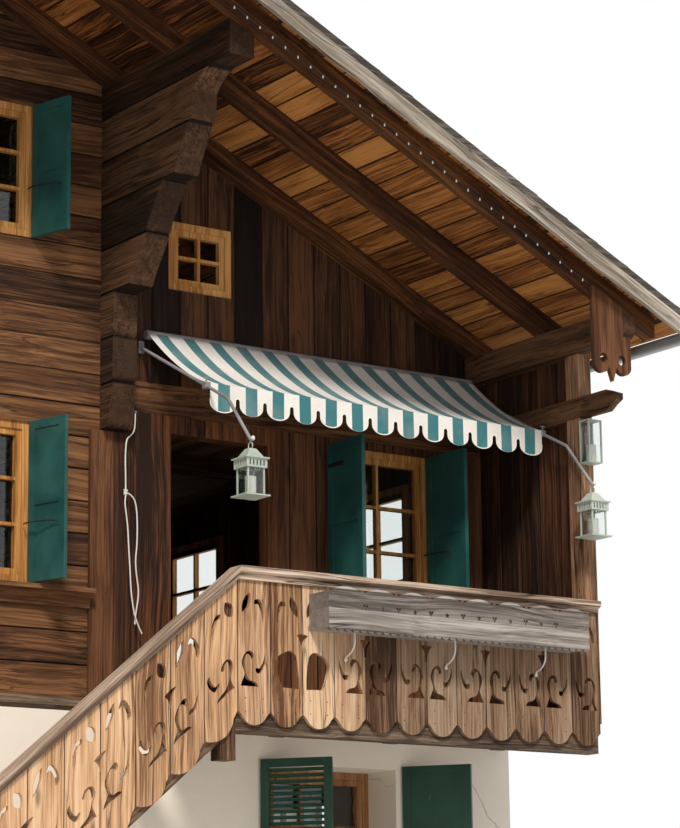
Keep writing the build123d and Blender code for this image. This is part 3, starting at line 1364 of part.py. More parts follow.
def cord_knot():
    """Knot where the awning's cord splits into two strands."""
    x, z = CORD_ROUTE[-1]
    low = z - CORD_GAP - CORD_KNOT_HEIGHT
    knot = Pos(x, out(CORD_OUT), low + CORD_KNOT_HEIGHT / 2) * Cylinder(CORD_KNOT_RADIUS, CORD_KNOT_HEIGHT)
    return chamfer(knot.edges(), CORD_KNOT_CHAMFER)


def cord_peg():
    """Peg in the door post that the awning's cord hangs from."""
    x, z = CORD_ROUTE[0]
    reach = CORD_OUT + CORD_PEG_RADIUS
    centre = Pos(x, out(reach / 2), z + CORD_PEG_RADIUS + 2 * CORD_GAP)
    return centre * Rot(90, 0, 0) * Cylinder(CORD_PEG_RADIUS, reach)


def end_window_set():
    """Frames and glass of the front's right half, above the masonry."""
    frames, panes = [], []
    for x, z, height in block_windows():
        frame, glass = window(WINDOW_WIDTH, height, 1, 3)
        frames.append(Pos(x, FRONT, z) * frame)
        panes.append(Pos(x, FRONT, z) * glass)
    frame, glass = window(GALLERY_WINDOW_WIDTH, GALLERY_WINDOW_HEIGHT, 2, 3)
    place = Pos(BLOCK_X + GALLERY_WINDOW_START, FRONT, FLOOR_Z + GALLERY_WINDOW_SILL)
    small, small_glass = window(ATTIC_WINDOW_WIDTH, ATTIC_WINDOW_HEIGHT, 2, 2)
    small_place = Pos(BLOCK_X + ATTIC_WINDOW_START, FRONT, UPPER_FLOOR_Z + ATTIC_WINDOW_SILL)
    frames += [place * frame, small_place * small]
    panes += [place * glass, small_place * small_glass]
    return frames, panes


def side_window_set():
    """Frames and glass of the right gallery's long side."""
    frame, glass = window(GALLERY_WINDOW_WIDTH, GALLERY_WINDOW_HEIGHT, 2, 3)
    places = [Pos(GALLERY_X, y - GALLERY_WINDOW_WIDTH / 2, FLOOR_Z + GALLERY_WINDOW_SILL) * Rot(0, 0, 90)
              for y in side_window_centres()]
    return [place * frame for place in places], [place * glass for place in places]


def base_window_set():
    """Frames, glass and shutters of the base windows: the front's right one, then the right side's."""
    frame, glass = window(BASE_WINDOW_WIDTH, BASE_WINDOW_HEIGHT, 4, 3, BASE_WINDOW_SETBACK)
    low = BASE_WINDOW_HEAD - BASE_WINDOW_HEIGHT
    height = BASE_WINDOW_HEIGHT + SHUTTER_MARGIN
    louvred = shutter_leaf(BASE_SHUTTER_WIDTH, height, "louvred")
    panelled = shutter_leaf(BASE_SHUTTER_WIDTH, height, "panelled")
    pair = [hung_leaf(louvred, 0, 0, 0, BASE_LEFT_SHUTTER_OPEN_DEG, -1),
            hung_leaf(panelled, BASE_WINDOW_WIDTH + SHUTTER_STILE, 0, 0, BASE_RIGHT_SHUTTER_OPEN_DEG, 1)]
    end_place = [Pos(BLOCK_X + BASE_WINDOW_START, out(BASE_PROUD), low)]
    side_places = [Pos(GALLERY_X + BASE_SIDE_PROUD, y - BASE_WINDOW_WIDTH / 2, low) * Rot(0, 0, 90)
                   for y in base_side_window_centres()]
    return [([place * frame for place in places], [place * glass for place in places],
             [place * leaf for place in places for leaf in pair]) for places in (end_place, side_places)]


def window_shutters(places, width, open_deg):
    """Two leaves for each window opening given as (x, z, height), hung on the front wall."""
    leaves = []
    for x, z, height in places:
        leaf = shutter_leaf(width / 2, height, "panelled")
        leaves.append(hung_leaf(leaf, x + width, FRONT, z, open_deg, 1))
        leaves.append(hung_leaf(leaf, x, FRONT, z, open_deg, -1))
    return leaves


def upper_shutters():
    gallery = [(BLOCK_X + GALLERY_WINDOW_START, FLOOR_Z + GALLERY_WINDOW_SILL, GALLERY_WINDOW_HEIGHT)]
    return (window_shutters(block_windows(), WINDOW_WIDTH, BLOCK_SHUTTER_OPEN_DEG)
            + window_shutters(gallery, GALLERY_WINDOW_WIDTH, GALLERY_SHUTTER_OPEN_DEG))


os.makedirs("parts", exist_ok=True)

write("base_front_wall", [base_front_wall()])
write("base_back_wall", back_only([base_front_wall()]))
write("base_side_walls", left_and_right([base_side_wall()]))
write("sill_beams", [sill_ring()])
write("living_floor", [living_floor()])
write("floor_beams", left_and_right([floor_beams()]))

write("lower_log_walls", front_and_back([block_front_wall(FLOOR_Z, CEILING_Z)]))
write("gable_log_walls", front_and_back([block_gable_wall()]))
write("side_log_walls", left_and_right([block_side_wall()]))
write("room_doors", left_and_right([room_door()]))
write("corbels", front_and_back(left_and_right(wall_corbel()) + ridge_corbel()))
write("purlins", [ridge_purlin()] + left_and_right([middle_purlin(), eave_purlin()]))
write("pendant_boards", front_and_back(left_and_right([pendant_board()])))
write("window_cornices", front_and_back([window_cornice()]))
write("corner_planks", front_and_back(left_and_right([corner_plank()])))

write("door_frames", left_and_right([door_frame()]))
write("gallery_lintels", front_and_back(left_and_right([lintel()])))
write("gallery_end_boards", left_and_right([gallery_front_boards()] + back_only([gallery_back_boards()])))
write("gallery_gable_boards", front_and_back(left_and_right([gallery_gable_boards()])))
write("gallery_side_boards", left_and_right([gallery_side_wall()]))
write("upper_floors", upper_floors())
write("gallery_ceiling_beams", left_and_right(ceiling_beams()))

end_frames, end_panes = end_window_set()
side_frames, side_panes = side_window_set()
base_end, base_sides = base_window_set()
write("window_frames", front_and_back(left_and_right(end_frames)) + left_and_right(side_frames))
write("base_window_frames", front_and_back(left_and_right(base_end[0])) + left_and_right(base_sides[0]))
write("window_glass",
      front_and_back(left_and_right(end_panes + base_end[1])) + left_and_right(side_panes + base_sides[1]))
write("base_shutters", front_and_back(left_and_right(base_end[2])) + left_and_right(base_sides[2]))
write("upper_shutters", front_and_back(left_and_right(upper_shutters())))

right_rafters = rafters()
write("right_rafters", right_rafters)
write("left_rafters", left_only(right_rafters))
write("right_roof_boards", [roof_boards()])
write("left_roof_boards", left_only([roof_boards()]))
write("right_roof_covering", [roof_covering()])
write("left_roof_covering", left_only([roof_covering()]))
write("verge_boards", front_and_back([verge_board()]))
write("ridge_cap", [ridge_cap()])
write("gutters", left_and_right([gutter()]))

write("balcony_floors", left_and_right([balcony_floor()]))
write("balcony_beams", left_and_right([balcony_beams()]))
write("balcony_boards", [balcony_boards(BROKEN_PAIRS)] + left_only([balcony_boards()]))
write("balcony_posts", left_and_right([newel(), wing_post()]) + [foot_newel()])
write("wing_walls", left_and_right([wing_wall()]))
write("wing_beams", left_and_right([wing_beam()]))
write("stair_stringers", stair_stringers())
write("stair_treads", stair_treads())
write("stair_boards", [stair_boards()])
write("handrails", [balcony_rail() + stair_rail()] + left_only([balcony_rail()]))

write("awning_cloth", [awning_cloth()])
write("awning_frame", [awning_roller(), awning_bar(), cord_peg()] + awning_arms())
write("awning_cord", [cord_tube(CORD_ROUTE, CORD_OUT)])
write("awning_cord_knot", [cord_knot()])
write("awning_cord_left", [cord_tube(CORD_LEFT_ROUTE, CORD_LEFT_OUT)])
write("awning_cord_right", [cord_tube(CORD_RIGHT_ROUTE, CORD_OUT)])
write("lanterns", lanterns())
write("candles", candles())
write("flower_box", [flower_box()])
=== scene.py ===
import math
import random

import bpy
from mathutils import Matrix, Vector


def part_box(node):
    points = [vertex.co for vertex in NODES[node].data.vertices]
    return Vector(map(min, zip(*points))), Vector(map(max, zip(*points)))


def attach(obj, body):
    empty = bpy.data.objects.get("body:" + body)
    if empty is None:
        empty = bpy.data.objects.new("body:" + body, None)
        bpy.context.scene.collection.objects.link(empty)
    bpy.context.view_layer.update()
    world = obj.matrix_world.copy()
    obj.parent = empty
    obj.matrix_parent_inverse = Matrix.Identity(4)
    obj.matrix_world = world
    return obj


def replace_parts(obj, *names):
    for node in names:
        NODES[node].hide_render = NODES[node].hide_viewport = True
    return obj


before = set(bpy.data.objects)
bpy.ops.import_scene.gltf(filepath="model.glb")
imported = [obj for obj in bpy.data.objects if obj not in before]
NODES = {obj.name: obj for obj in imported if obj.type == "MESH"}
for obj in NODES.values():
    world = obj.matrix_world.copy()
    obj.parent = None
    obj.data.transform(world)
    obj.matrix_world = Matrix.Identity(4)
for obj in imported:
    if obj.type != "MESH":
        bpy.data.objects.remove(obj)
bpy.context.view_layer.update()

# Camera. It stands low on the slope below the house, to the left of the stair, with a long lens
# that looks up at the right half of the gable front.
CAMERA_PLACE = (-6.76, -21.06, 0.28)
CAMERA_RIGHT = Vector((0.8167, -0.5769, -0.0121))
CAMERA_DOWN = Vector((0.1152, 0.1836, -0.9762))
CAMERA_AHEAD = Vector((0.5654, 0.7959, 0.2165))
CAMERA_LENS = 120.64
CAMERA_FAR_END = 500.0

camera_data = bpy.data.cameras.new("camera")
camera_data.lens = CAMERA_LENS
camera_data.clip_end = CAMERA_FAR_END
camera = bpy.data.objects.new("camera", camera_data)
bpy.context.scene.collection.objects.link(camera)
turn = Matrix((CAMERA_RIGHT, -CAMERA_DOWN, -CAMERA_AHEAD)).transposed()
camera.matrix_world = Matrix.Translation(CAMERA_PLACE) @ turn.to_4x4()
bpy.context.scene.camera = camera

# Awning cord. A braided white cord that hangs from a peg in the door post, steps in beside the
# corbel's foot, and is tied in a knot from which two loose strands hang to the sill.
CORD_RADIUS = 0.0055
CORD_Y, LEFT_STRAND_Y = -4.26, -4.272
CORD_ROUTE = ((3.361, 4.640), (3.360, 4.570), (3.352, 4.505), (3.324, 4.472), (3.290, 4.444),
              (3.281, 4.370), (3.279, 4.270), (3.282, 4.170), (3.283, 4.075))
LEFT_STRAND = ((3.277, 4.0294), (3.268, 3.985), (3.280, 3.900), (3.296, 3.790), (3.303, 3.650),
               (3.315, 3.500), (3.322, 3.360), (3.338, 3.240), (3.364, 3.130), (3.415, 3.040))
RIGHT_STRAND = ((3.303, 4.046), (3.332, 4.034), (3.362, 3.998), (3.377, 3.925), (3.382, 3.800),
                (3.379, 3.675), (3.366, 3.565), (3.374, 3.465), (3.396, 3.350), (3.386, 3.260),
                (3.370, 3.180), (3.364, 3.104))
KNOT_MIDDLE = (3.283, -4.26, 4.0527)
KNOT_TURNS, KNOT_TURN_RADIUS, KNOT_LEAN_DEG = 4, 0.0113, 9.0
KNOT_TIGHTNESS, KNOT_VOXEL = 0.93, 0.0012
BRAID_PITCH, BRAID_DEPTH = 0.007, 0.001


def node(tree, kind, settings=None, inputs=None):
    """New node with its settings, and its inputs as values or as sockets to link."""
    made = tree.nodes.new(kind)
    for name, value in (settings or {}).items():
        setattr(made, name, value)
    for name, value in (inputs or {}).items():
        if isinstance(value, bpy.types.NodeSocket):
            tree.links.new(value, made.inputs[name])
        else:
            made.inputs[name].default_value = value
    return made


def sums(tree, operation, *values):
    """Result of one Math node."""
    settings = {"operation": operation}
    return node(tree, "ShaderNodeMath", settings, dict(enumerate(values))).outputs[0]


def rgba(colour):
    """Three numbers with an alpha, or the socket that gives a colour."""
    return (*colour, 1.0) if isinstance(colour, tuple) else colour


def blended(tree, share, first, second, way="MIX"):
    """Mix of two colours."""
    settings = {"data_type": "RGBA", "blend_type": way}
    return node(tree, "ShaderNodeMix", settings, {0: share, 6: rgba(first), 7: rgba(second)}).outputs[2]


def axes_of(tree, place):
    """The three numbers of a point or a direction."""
    return node(tree, "ShaderNodeSeparateXYZ", None, {0: place}).outputs


def new_finish(name, roughness=0.6, metallic=0.0):
    """Material with its shader and the object's own coordinates."""
    material = bpy.data.materials.new(name)
    material.use_nodes = True
    tree = material.node_tree
    shader = tree.nodes["Principled BSDF"]
    shader.inputs["Roughness"].default_value = roughness
    shader.inputs["Metallic"].default_value = metallic
    place = tree.nodes.new("ShaderNodeTexCoord").outputs["Object"]
    return material, tree, shader, place


def coloured(tree, shader, share, first, second):
    """Base colour mixed from two."""
    tree.links.new(blended(tree, share, first, second), shader.inputs["Base Color"])


def raised(tree, shader, height, distance, strength=1.0):
    """Bump from a height between 0 and 1."""
    inputs = {"Height": height, "Distance": distance, "Strength": strength}
    tree.links.new(node(tree, "ShaderNodeBump", None, inputs).outputs[0], shader.inputs["Normal"])


def alone(piece):
    """Makes the piece the only one that the next operators act on."""
    bpy.ops.object.select_all(action="DESELECT")
    piece.select_set(True)
    bpy.context.view_layer.objects.active = piece


def primitive(add, **settings):
    """New mesh from one of Blender's primitives, with its place and size applied."""
    bpy.ops.object.select_all(action="DESELECT")
    add(**settings)
    bpy.ops.object.transform_apply(location=True, rotation=True, scale=True)
    return bpy.context.object


def modified(piece, kind, **settings):
    """Applies a modifier to the piece."""
    alone(piece)
    modifier = piece.modifiers.new("shaped", kind)
    for name, value in settings.items():
        setattr(modifier, name, value)
    bpy.ops.object.modifier_apply(modifier=modifier.name)


def joined(pieces):
    """Several meshes made one."""
    bpy.ops.object.select_all(action="DESELECT")
    for piece in pieces:
        piece.select_set(True)
    bpy.context.view_layer.objects.active = pieces[0]
    if len(pieces) > 1:
        bpy.ops.object.join()
    return bpy.context.object


def placed(piece, name, material):
    """Finished piece with its name and finish, riding on the house."""
    piece.name = name
    piece.data.name = name
    piece.data.materials.clear()
    piece.data.materials.append(material)
    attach(piece, "root")
    return piece


def line_through(points, radius, ring_steps=3, run_steps=8, kind="NURBS", caps=True):
    """Round line whose control points are given, or whose corners are, where kind is POLY."""
    data = bpy.data.curves.new("line", "CURVE")
    data.dimensions = "3D"
    data.bevel_depth = radius
    data.bevel_resolution = ring_steps
    data.use_fill_caps = caps
    spline = data.splines.new(kind)
    spline.points.add(len(points) - 1)
    for point, place in zip(spline.points, points):
        point.co = (*place, 1.0)
    spline.order_u = 3
    spline.use_endpoint_u = True
    spline.resolution_u = run_steps
    line = bpy.data.objects.new("line", data)
    bpy.context.scene.collection.objects.link(line)
    return line


cord_fibre, tree, shader, place = new_finish("cord_fibre", roughness=0.88)
axes = axes_of(tree, place)
lay = sums(tree, "PINGPONG", sums(tree, "DIVIDE", sums(tree, "ADD", axes[2], axes[0]), BRAID_PITCH), 1.0)
coloured(tree, shader, lay, (0.62, 0.60, 0.55), (0.84, 0.83, 0.79))
raised(tree, shader, lay, BRAID_DEPTH)

main_cord = line_through([(x, CORD_Y, z) for x, z in CORD_ROUTE], CORD_RADIUS)
left_strand = line_through([(x, LEFT_STRAND_Y, z) for x, z in LEFT_STRAND], CORD_RADIUS)
right_strand = line_through([(x, CORD_Y, z) for x, z in RIGHT_STRAND], CORD_RADIUS)
knot_turns = []
for index in range(KNOT_TURNS):
    level = KNOT_MIDDLE[2] + (index - (KNOT_TURNS - 1) / 2) * 2 * CORD_RADIUS * KNOT_TIGHTNESS
    lean = math.radians(KNOT_LEAN_DEG * (1 if index % 2 else -1))
    knot_turns.append(primitive(
        bpy.ops.mesh.primitive_torus_add, major_radius=KNOT_TURN_RADIUS, minor_radius=CORD_RADIUS,
        major_segments=24, minor_segments=12, location=(*KNOT_MIDDLE[:2], level),
        rotation=(lean, lean / 2, 0)))
knot = joined(knot_turns)
modified(knot, "REMESH", mode="VOXEL", voxel_size=KNOT_VOXEL)
bpy.ops.object.shade_smooth()
for piece, name in ((main_cord, "pull_cord"), (left_strand, "left_cord_strand"),
                    (right_strand, "right_cord_strand"), (knot, "cord_knot")):
    placed(piece, name, cord_fibre)
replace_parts(main_cord, "awning_cord")
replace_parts(left_strand, "awning_cord_left")
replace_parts(right_strand, "awning_cord_right")
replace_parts(knot, "awning_cord_knot")

# Floor and daylight. A pale studio floor that runs far out, a soft sun from the front left and
# an even sky, which the camera and reflections see as plain white.
FLOOR_REACH, FLOOR_DROP = 400.0, 0.001
FLOOR_COLOUR, FLOOR_ROUGHNESS = (0.74, 0.73, 0.71, 1.0), 0.9
SKY_STRENGTH, SKY_COLOUR = 0.56, (0.95, 0.98, 1.0, 1.0)
SUN_STRENGTH, SUN_COLOUR = 2.95, (1.0, 0.95, 0.88)
SUN_SOFTNESS_DEG = 12.0
SUN_TURN_DEG = (46.0, 0.0, -30.0)

bpy.ops.object.select_all(action="DESELECT")
bpy.ops.mesh.primitive_plane_add(size=FLOOR_REACH, location=(0, 0, -FLOOR_DROP))
floor = bpy.context.object
floor.name = "studio_floor"
floor_material = bpy.data.materials.new("studio_floor")
floor_material.use_nodes = True
floor_shader = floor_material.node_tree.nodes["Principled BSDF"]
floor_shader.inputs["Base Color"].default_value = FLOOR_COLOUR
floor_shader.inputs["Roughness"].default_value = FLOOR_ROUGHNESS
floor.data.materials.append(floor_material)

sun_data = bpy.data.lights.new("sun", "SUN")
sun_data.energy = SUN_STRENGTH
sun_data.color = SUN_COLOUR
sun_data.angle = math.radians(SUN_SOFTNESS_DEG)
sun = bpy.data.objects.new("sun", sun_data)
sun.rotation_euler = [math.radians(angle) for angle in SUN_TURN_DEG]
bpy.context.scene.collection.objects.link(sun)

world = bpy.data.worlds.new("sky")
world.use_nodes = True
bpy.context.scene.world = world
sky = world.node_tree
light_path = sky.nodes.new("ShaderNodeLightPath")
seen = sums(sky, "MAXIMUM", light_path.outputs["Is Camera Ray"], light_path.outputs["Is Glossy Ray"])
seen_through = sums(sky, "MAXIMUM", seen, light_path.outputs["Is Transmission Ray"])
plain = sky.nodes["Background"]
plain.inputs["Strength"].default_value = SKY_STRENGTH
plain.inputs["Color"].default_value = SKY_COLOUR
white = node(sky, "ShaderNodeBackground", None, {"Strength": 1.0, "Color": (1.0, 1.0, 1.0, 1.0)})
skies = {0: seen_through, 1: plain.outputs[0], 2: white.outputs[0]}
choice = node(sky, "ShaderNodeMixShader", None, skies)
sky.links.new(choice.outputs[0], sky.nodes["World Output"].inputs["Surface"])
bpy.context.scene.view_settings.view_transform = "Standard"

# Masonry base. Rubble walls under a cream lime render, trowelled by hand, with hairline cracks and
# a faint stain of splashed rain towards the ground.
RENDER_PALE, RENDER_STAIN = (0.90, 0.82, 0.71), (0.68, 0.60, 0.49)
SPLASH_HEIGHT, CRACK_WIDTH, RENDER_DEPTH = 0.8, 0.004, 0.006


def dress(material, *names):
    """Gives CAD nodes their finish."""
    for name in names:
        NODES[name].data.materials.clear()
        NODES[name].data.materials.append(material)


def spread(tree, value, low, high, start=0.0, end=1.0):
    """Value stretched from low..high to start..end, and kept within it."""
    inputs = {"Value": value, "From Min": low, "From Max": high, "To Min": start, "To Max": end}
    return node(tree, "ShaderNodeMapRange", None, inputs).outputs[0]


def noise(tree, place, scale, detail=2.0, roughness=0.5, distortion=0.0):
    """Noise whose scale is a number, or three for a grain that runs one way."""
    if isinstance(scale, tuple):
        place = node(tree, "ShaderNodeMapping", None, {"Vector": place, "Scale": scale}).outputs[0]
        scale = 1.0
    inputs = {"Vector": place, "Scale": scale, "Detail": detail, "Roughness": roughness,
              "Distortion": distortion}
    return node(tree, "ShaderNodeTexNoise", None, inputs).outputs[0]


def shifted(tree, place, by, amounts):
    """Point moved by a colour or a direction, in the given amounts."""
    inputs = {0: by, 1: amounts, 2: place}
    return node(tree, "ShaderNodeVectorMath", {"operation": "MULTIPLY_ADD"}, inputs).outputs[0]


render, tree, shader, place = new_finish("lime_render", roughness=0.93)
clouds = noise(tree, place, 0.9, detail=5.0, roughness=0.6)
grit = noise(tree, place, 60.0, detail=3.0)
trowel = noise(tree, place, (2.4, 2.4, 4.0), detail=2.0)
wobble = node(tree, "ShaderNodeTexNoise", None, {"Vector": place, "Scale": 2.0}).outputs["Color"]
wobbled = shifted(tree, place, wobble, (0.4, 0.4, 0.4))
hairlines = node(tree, "ShaderNodeTexVoronoi", {"feature": "DISTANCE_TO_EDGE"},
                 {"Vector": wobbled, "Scale": 0.7}).outputs[0]
crazed = sums(tree, "MULTIPLY", spread(tree, hairlines, 0.0, CRACK_WIDTH, 1.0, 0.0),
              spread(tree, clouds, 0.5, 0.6))
splash = sums(tree, "MULTIPLY", spread(tree, axes_of(tree, place)[2], 0.0, SPLASH_HEIGHT, 1.0, 0.0), 0.6)
stain = sums(tree, "ADD", splash, spread(tree, clouds, 0.5, 0.85, 0.0, 0.45))
stained = sums(tree, "MAXIMUM", stain, sums(tree, "MULTIPLY", crazed, 0.8))
coloured(tree, shader, stained, RENDER_PALE, RENDER_STAIN)
coat = sums(tree, "SUBTRACT", sums(tree, "ADD", sums(tree, "MULTIPLY", grit, 0.25), trowel), crazed)
raised(tree, shader, coat, RENDER_DEPTH)
dress(render, "base_front_wall", "base_back_wall", "base_side_walls")

# Timber of the house. Spruce that has gone brown and black in the sun, smooth where it is
# sheltered, with drying cracks, dark knots and its own tone on every log or board.
LOG_HEIGHT, LOG_START = 0.234, 2.56
CORBEL_LOG_HEIGHT, CORBEL_START = 0.334, 4.489
BOARD_PITCH, BOARD_START = 0.241, 3.3
SIDE_BOARD_PITCH, SIDE_BOARD_START = 0.24, -4.2
CRACK_BLACK, JOINT_BLACK = (0.010, 0.006, 0.004), (0.005, 0.003, 0.002)
END_GRAIN_SHADE, WOOD_GLOSS = 0.8, 0.2
LOG_TONES = (0.020, 0.008, 0.004), (0.105, 0.044, 0.018), (0.27, 0.125, 0.050)
CORBEL_TONES = (0.014, 0.008, 0.005), (0.055, 0.026, 0.013), (0.17, 0.085, 0.040)
BOARD_TONES = (0.018, 0.007, 0.004), (0.080, 0.031, 0.013), (0.19, 0.080, 0.034)
SHADED_GABLE_TONES = (0.007, 0.003, 0.002), (0.033, 0.012, 0.005), (0.115, 0.048, 0.020)
JAMB_TONES = (0.018, 0.007, 0.004), (0.115, 0.040, 0.014), (0.26, 0.105, 0.040)
LEVEL_TONES = (0.018, 0.007, 0.004), (0.12, 0.050, 0.021), (0.27, 0.125, 0.055)
SUNNY_TONES = (0.035, 0.016, 0.008), (0.19, 0.095, 0.050), (0.42, 0.24, 0.14)
SILL_TONES = (0.045, 0.028, 0.018), (0.17, 0.115, 0.078), (0.34, 0.25, 0.185)
PLANK_TONES = (0.06, 0.030, 0.014), (0.20, 0.105, 0.050), (0.36, 0.21, 0.11)
GRAIN_INPUTS = {"Grain": "Vector", "Board": "Float", "Dark": "Color", "Body": "Color", "Light": "Color",
                "Board Contrast": "Float", "Grain Contrast": "Float", "Cracks": "Float", "Knots": "Float"}
GRAIN_OUTPUTS = {"Colour": "Color", "Roughness": "Float", "Height": "Float"}


def about_middle(tree, value, weight):
    """Value between 0 and 1 turned into a weighted swing about 0."""
    return sums(tree, "MULTIPLY", sums(tree, "SUBTRACT", value, 0.5), weight)


GRAIN = bpy.data.node_groups.new("aged timber", "ShaderNodeTree")
for sockets, way in ((GRAIN_INPUTS, "INPUT"), (GRAIN_OUTPUTS, "OUTPUT")):
    for name, kind in sockets.items():
        GRAIN.interface.new_socket(name, in_out=way, socket_type="NodeSocket" + kind)
given = GRAIN.nodes.new("NodeGroupInput").outputs
board = node(GRAIN, "ShaderNodeTexWhiteNoise", {"noise_dimensions": "1D"},
             {"W": sums(GRAIN, "FLOOR", given["Board"])})
moved = shifted(GRAIN, given["Grain"], board.outputs["Color"], (40.0, 40.0, 40.0))
wander = node(GRAIN, "ShaderNodeTexNoise", None, {"Vector": moved, "Scale": 1.1, "Detail": 1.0})
bent = shifted(GRAIN, moved, wander.outputs["Color"], (0.0, 0.09, 0.09))
bands = noise(GRAIN, bent, (0.55, 24.0, 24.0), detail=3.0, roughness=0.6, distortion=0.35)
streaks = noise(GRAIN, bent, (1.1, 75.0, 75.0), detail=2.0, roughness=0.6)
patches = noise(GRAIN, moved, (0.7, 4.0, 4.0), detail=3.0, roughness=0.6)
fibres = noise(GRAIN, bent, (6.0, 260.0, 260.0), detail=1.0)
split_lines = noise(GRAIN, bent, (0.42, 13.0, 13.0), detail=2.0)
split_patch = noise(GRAIN, moved, (0.8, 2.5, 2.5), detail=1.0)
off_line = sums(GRAIN, "ABSOLUTE", sums(GRAIN, "SUBTRACT", split_lines, 0.5))
split_line = sums(GRAIN, "MULTIPLY", spread(GRAIN, off_line, 0.0, 0.014, 1.0, 0.0),
                  spread(GRAIN, split_patch, 0.44, 0.6))
splits = sums(GRAIN, "MULTIPLY", split_line, given["Cracks"])
knot_place = node(GRAIN, "ShaderNodeMapping", None, {"Vector": bent, "Scale": (1.6, 5.5, 5.5)}).outputs[0]
knot_cells = node(GRAIN, "ShaderNodeTexVoronoi", None, {"Vector": knot_place, "Scale": 1.0}).outputs
knot_chance = node(GRAIN, "ShaderNodeSeparateColor", None, {0: knot_cells["Color"]}).outputs[0]
knot_here = sums(GRAIN, "GREATER_THAN", knot_chance, 0.5)
knot_core = spread(GRAIN, knot_cells["Distance"], 0.05, 0.14, 1.0, 0.0)
knots = sums(GRAIN, "MULTIPLY", sums(GRAIN, "MULTIPLY", knot_core, knot_here), given["Knots"])
tone = about_middle(GRAIN, board.outputs["Value"], given["Board Contrast"])
figure = about_middle(GRAIN, bands, 0.85)
for marking, weight in ((streaks, 0.75), (patches, 0.7), (fibres, 0.3)):
    figure = sums(GRAIN, "ADD", figure, about_middle(GRAIN, marking, weight))
lightness = sums(GRAIN, "ADD", sums(GRAIN, "MULTIPLY_ADD", figure, given["Grain Contrast"], 0.5), tone)
under = blended(GRAIN, spread(GRAIN, lightness, 0.15, 0.5), given["Dark"], given["Body"])
over = blended(GRAIN, spread(GRAIN, lightness, 0.5, 0.9), under, given["Light"])
marks = sums(GRAIN, "MAXIMUM", sums(GRAIN, "MULTIPLY", knots, 0.75), sums(GRAIN, "MULTIPLY", splits, 0.9))
marked = blended(GRAIN, marks, over, CRACK_BLACK)
ridges = sums(GRAIN, "ADD", sums(GRAIN, "MULTIPLY", bands, 0.5), sums(GRAIN, "MULTIPLY", streaks, 0.4))
relief = sums(GRAIN, "SUBTRACT", ridges, splits)
sheen = spread(GRAIN, streaks, 0.2, 0.8, 0.62, 0.86)
node(GRAIN, "NodeGroupOutput", None, {"Colour": marked, "Roughness": sheen, "Height": relief})


def timber(name, tones, lie, pitch=LOG_HEIGHT, start=0.0, slope_deg=0.0, gap=0.0, both_sides=False,
           tone_of=None, stair=None, board_contrast=0.5, grain_contrast=1.3, cracks=0.8, knots=0.8,
           relief=0.004):
    """Wood finish with a dark, a body and a light tone.

    lie names two axes: the grain runs along the first, and boards of width pitch are counted along
    the second. gap is the dark joint between boards, both_sides counts them from the middle of the
    house to both sides, tone_of names the attribute that tells one small piece from the next, and
    stair is the foot, head and slope of the flight whose line the grain follows."""
    dark, body, light = tones
    along, across = lie
    material, tree, shader, place = new_finish(name)
    shader.inputs["Specular IOR Level"].default_value = WOOD_GLOSS
    facing = axes_of(tree, place.node.outputs["Normal"])[along]
    if slope_deg:
        turned = {"Vector": place, "Rotation": (0.0, math.radians(slope_deg), 0.0)}
        place = node(tree, "ShaderNodeMapping", None, turned).outputs[0]
    axes = axes_of(tree, place)
    if stair:
        foot, top, slope = stair
        on_flight = sums(tree, "MINIMUM", sums(tree, "MAXIMUM", axes[0], foot), top)
        fall = sums(tree, "MULTIPLY", sums(tree, "SUBTRACT", top, on_flight), slope)
        level = {0: axes[0], 1: axes[1], 2: sums(tree, "ADD", axes[2], fall)}
        axes = axes_of(tree, node(tree, "ShaderNodeCombineXYZ", None, level).outputs[0])
    order = [along] + [axis for axis in "XYZ" if axis != along]
    lined_up = {index: axes[axis] for index, axis in enumerate(order)}
    grain = node(tree, "ShaderNodeCombineXYZ", None, lined_up).outputs[0]
    counted = sums(tree, "ABSOLUTE", axes[across]) if both_sides else axes[across]
    index = sums(tree, "DIVIDE", sums(tree, "SUBTRACT", counted, start), pitch)
    if tone_of:
        own_tone = node(tree, "ShaderNodeAttribute", {"attribute_name": tone_of}).outputs[2]
        index = sums(tree, "MULTIPLY", own_tone, 997.0)
    figure = node(tree, "ShaderNodeGroup", {"node_tree": GRAIN}, {
        "Grain": grain, "Board": index, "Dark": rgba(dark), "Body": rgba(body), "Light": rgba(light),
        "Board Contrast": board_contrast, "Grain Contrast": grain_contrast, "Cracks": cracks,
        "Knots": knots}).outputs
    end_grain = spread(tree, sums(tree, "ABSOLUTE", facing), 0.5, 0.9, 0.0, 0.6)
    end_tone = tuple(END_GRAIN_SHADE * part for part in body)
    colour, height = blended(tree, end_grain, figure["Colour"], end_tone), figure["Height"]
    if gap:
        share = sums(tree, "FRACT", index)
        nearer = sums(tree, "MINIMUM", share, sums(tree, "SUBTRACT", 1.0, share))
        joint = spread(tree, sums(tree, "MULTIPLY", nearer, pitch), gap / 2, gap, 1.0, 0.0)
        colour = blended(tree, sums(tree, "MULTIPLY", joint, 0.9), colour, JOINT_BLACK)
        height = sums(tree, "SUBTRACT", height, sums(tree, "MULTIPLY", joint, 2.0))
    tree.links.new(colour, shader.inputs["Base Color"])
    tree.links.new(figure["Roughness"], shader.inputs["Roughness"])
    raised(tree, shader, height, relief)
    return material


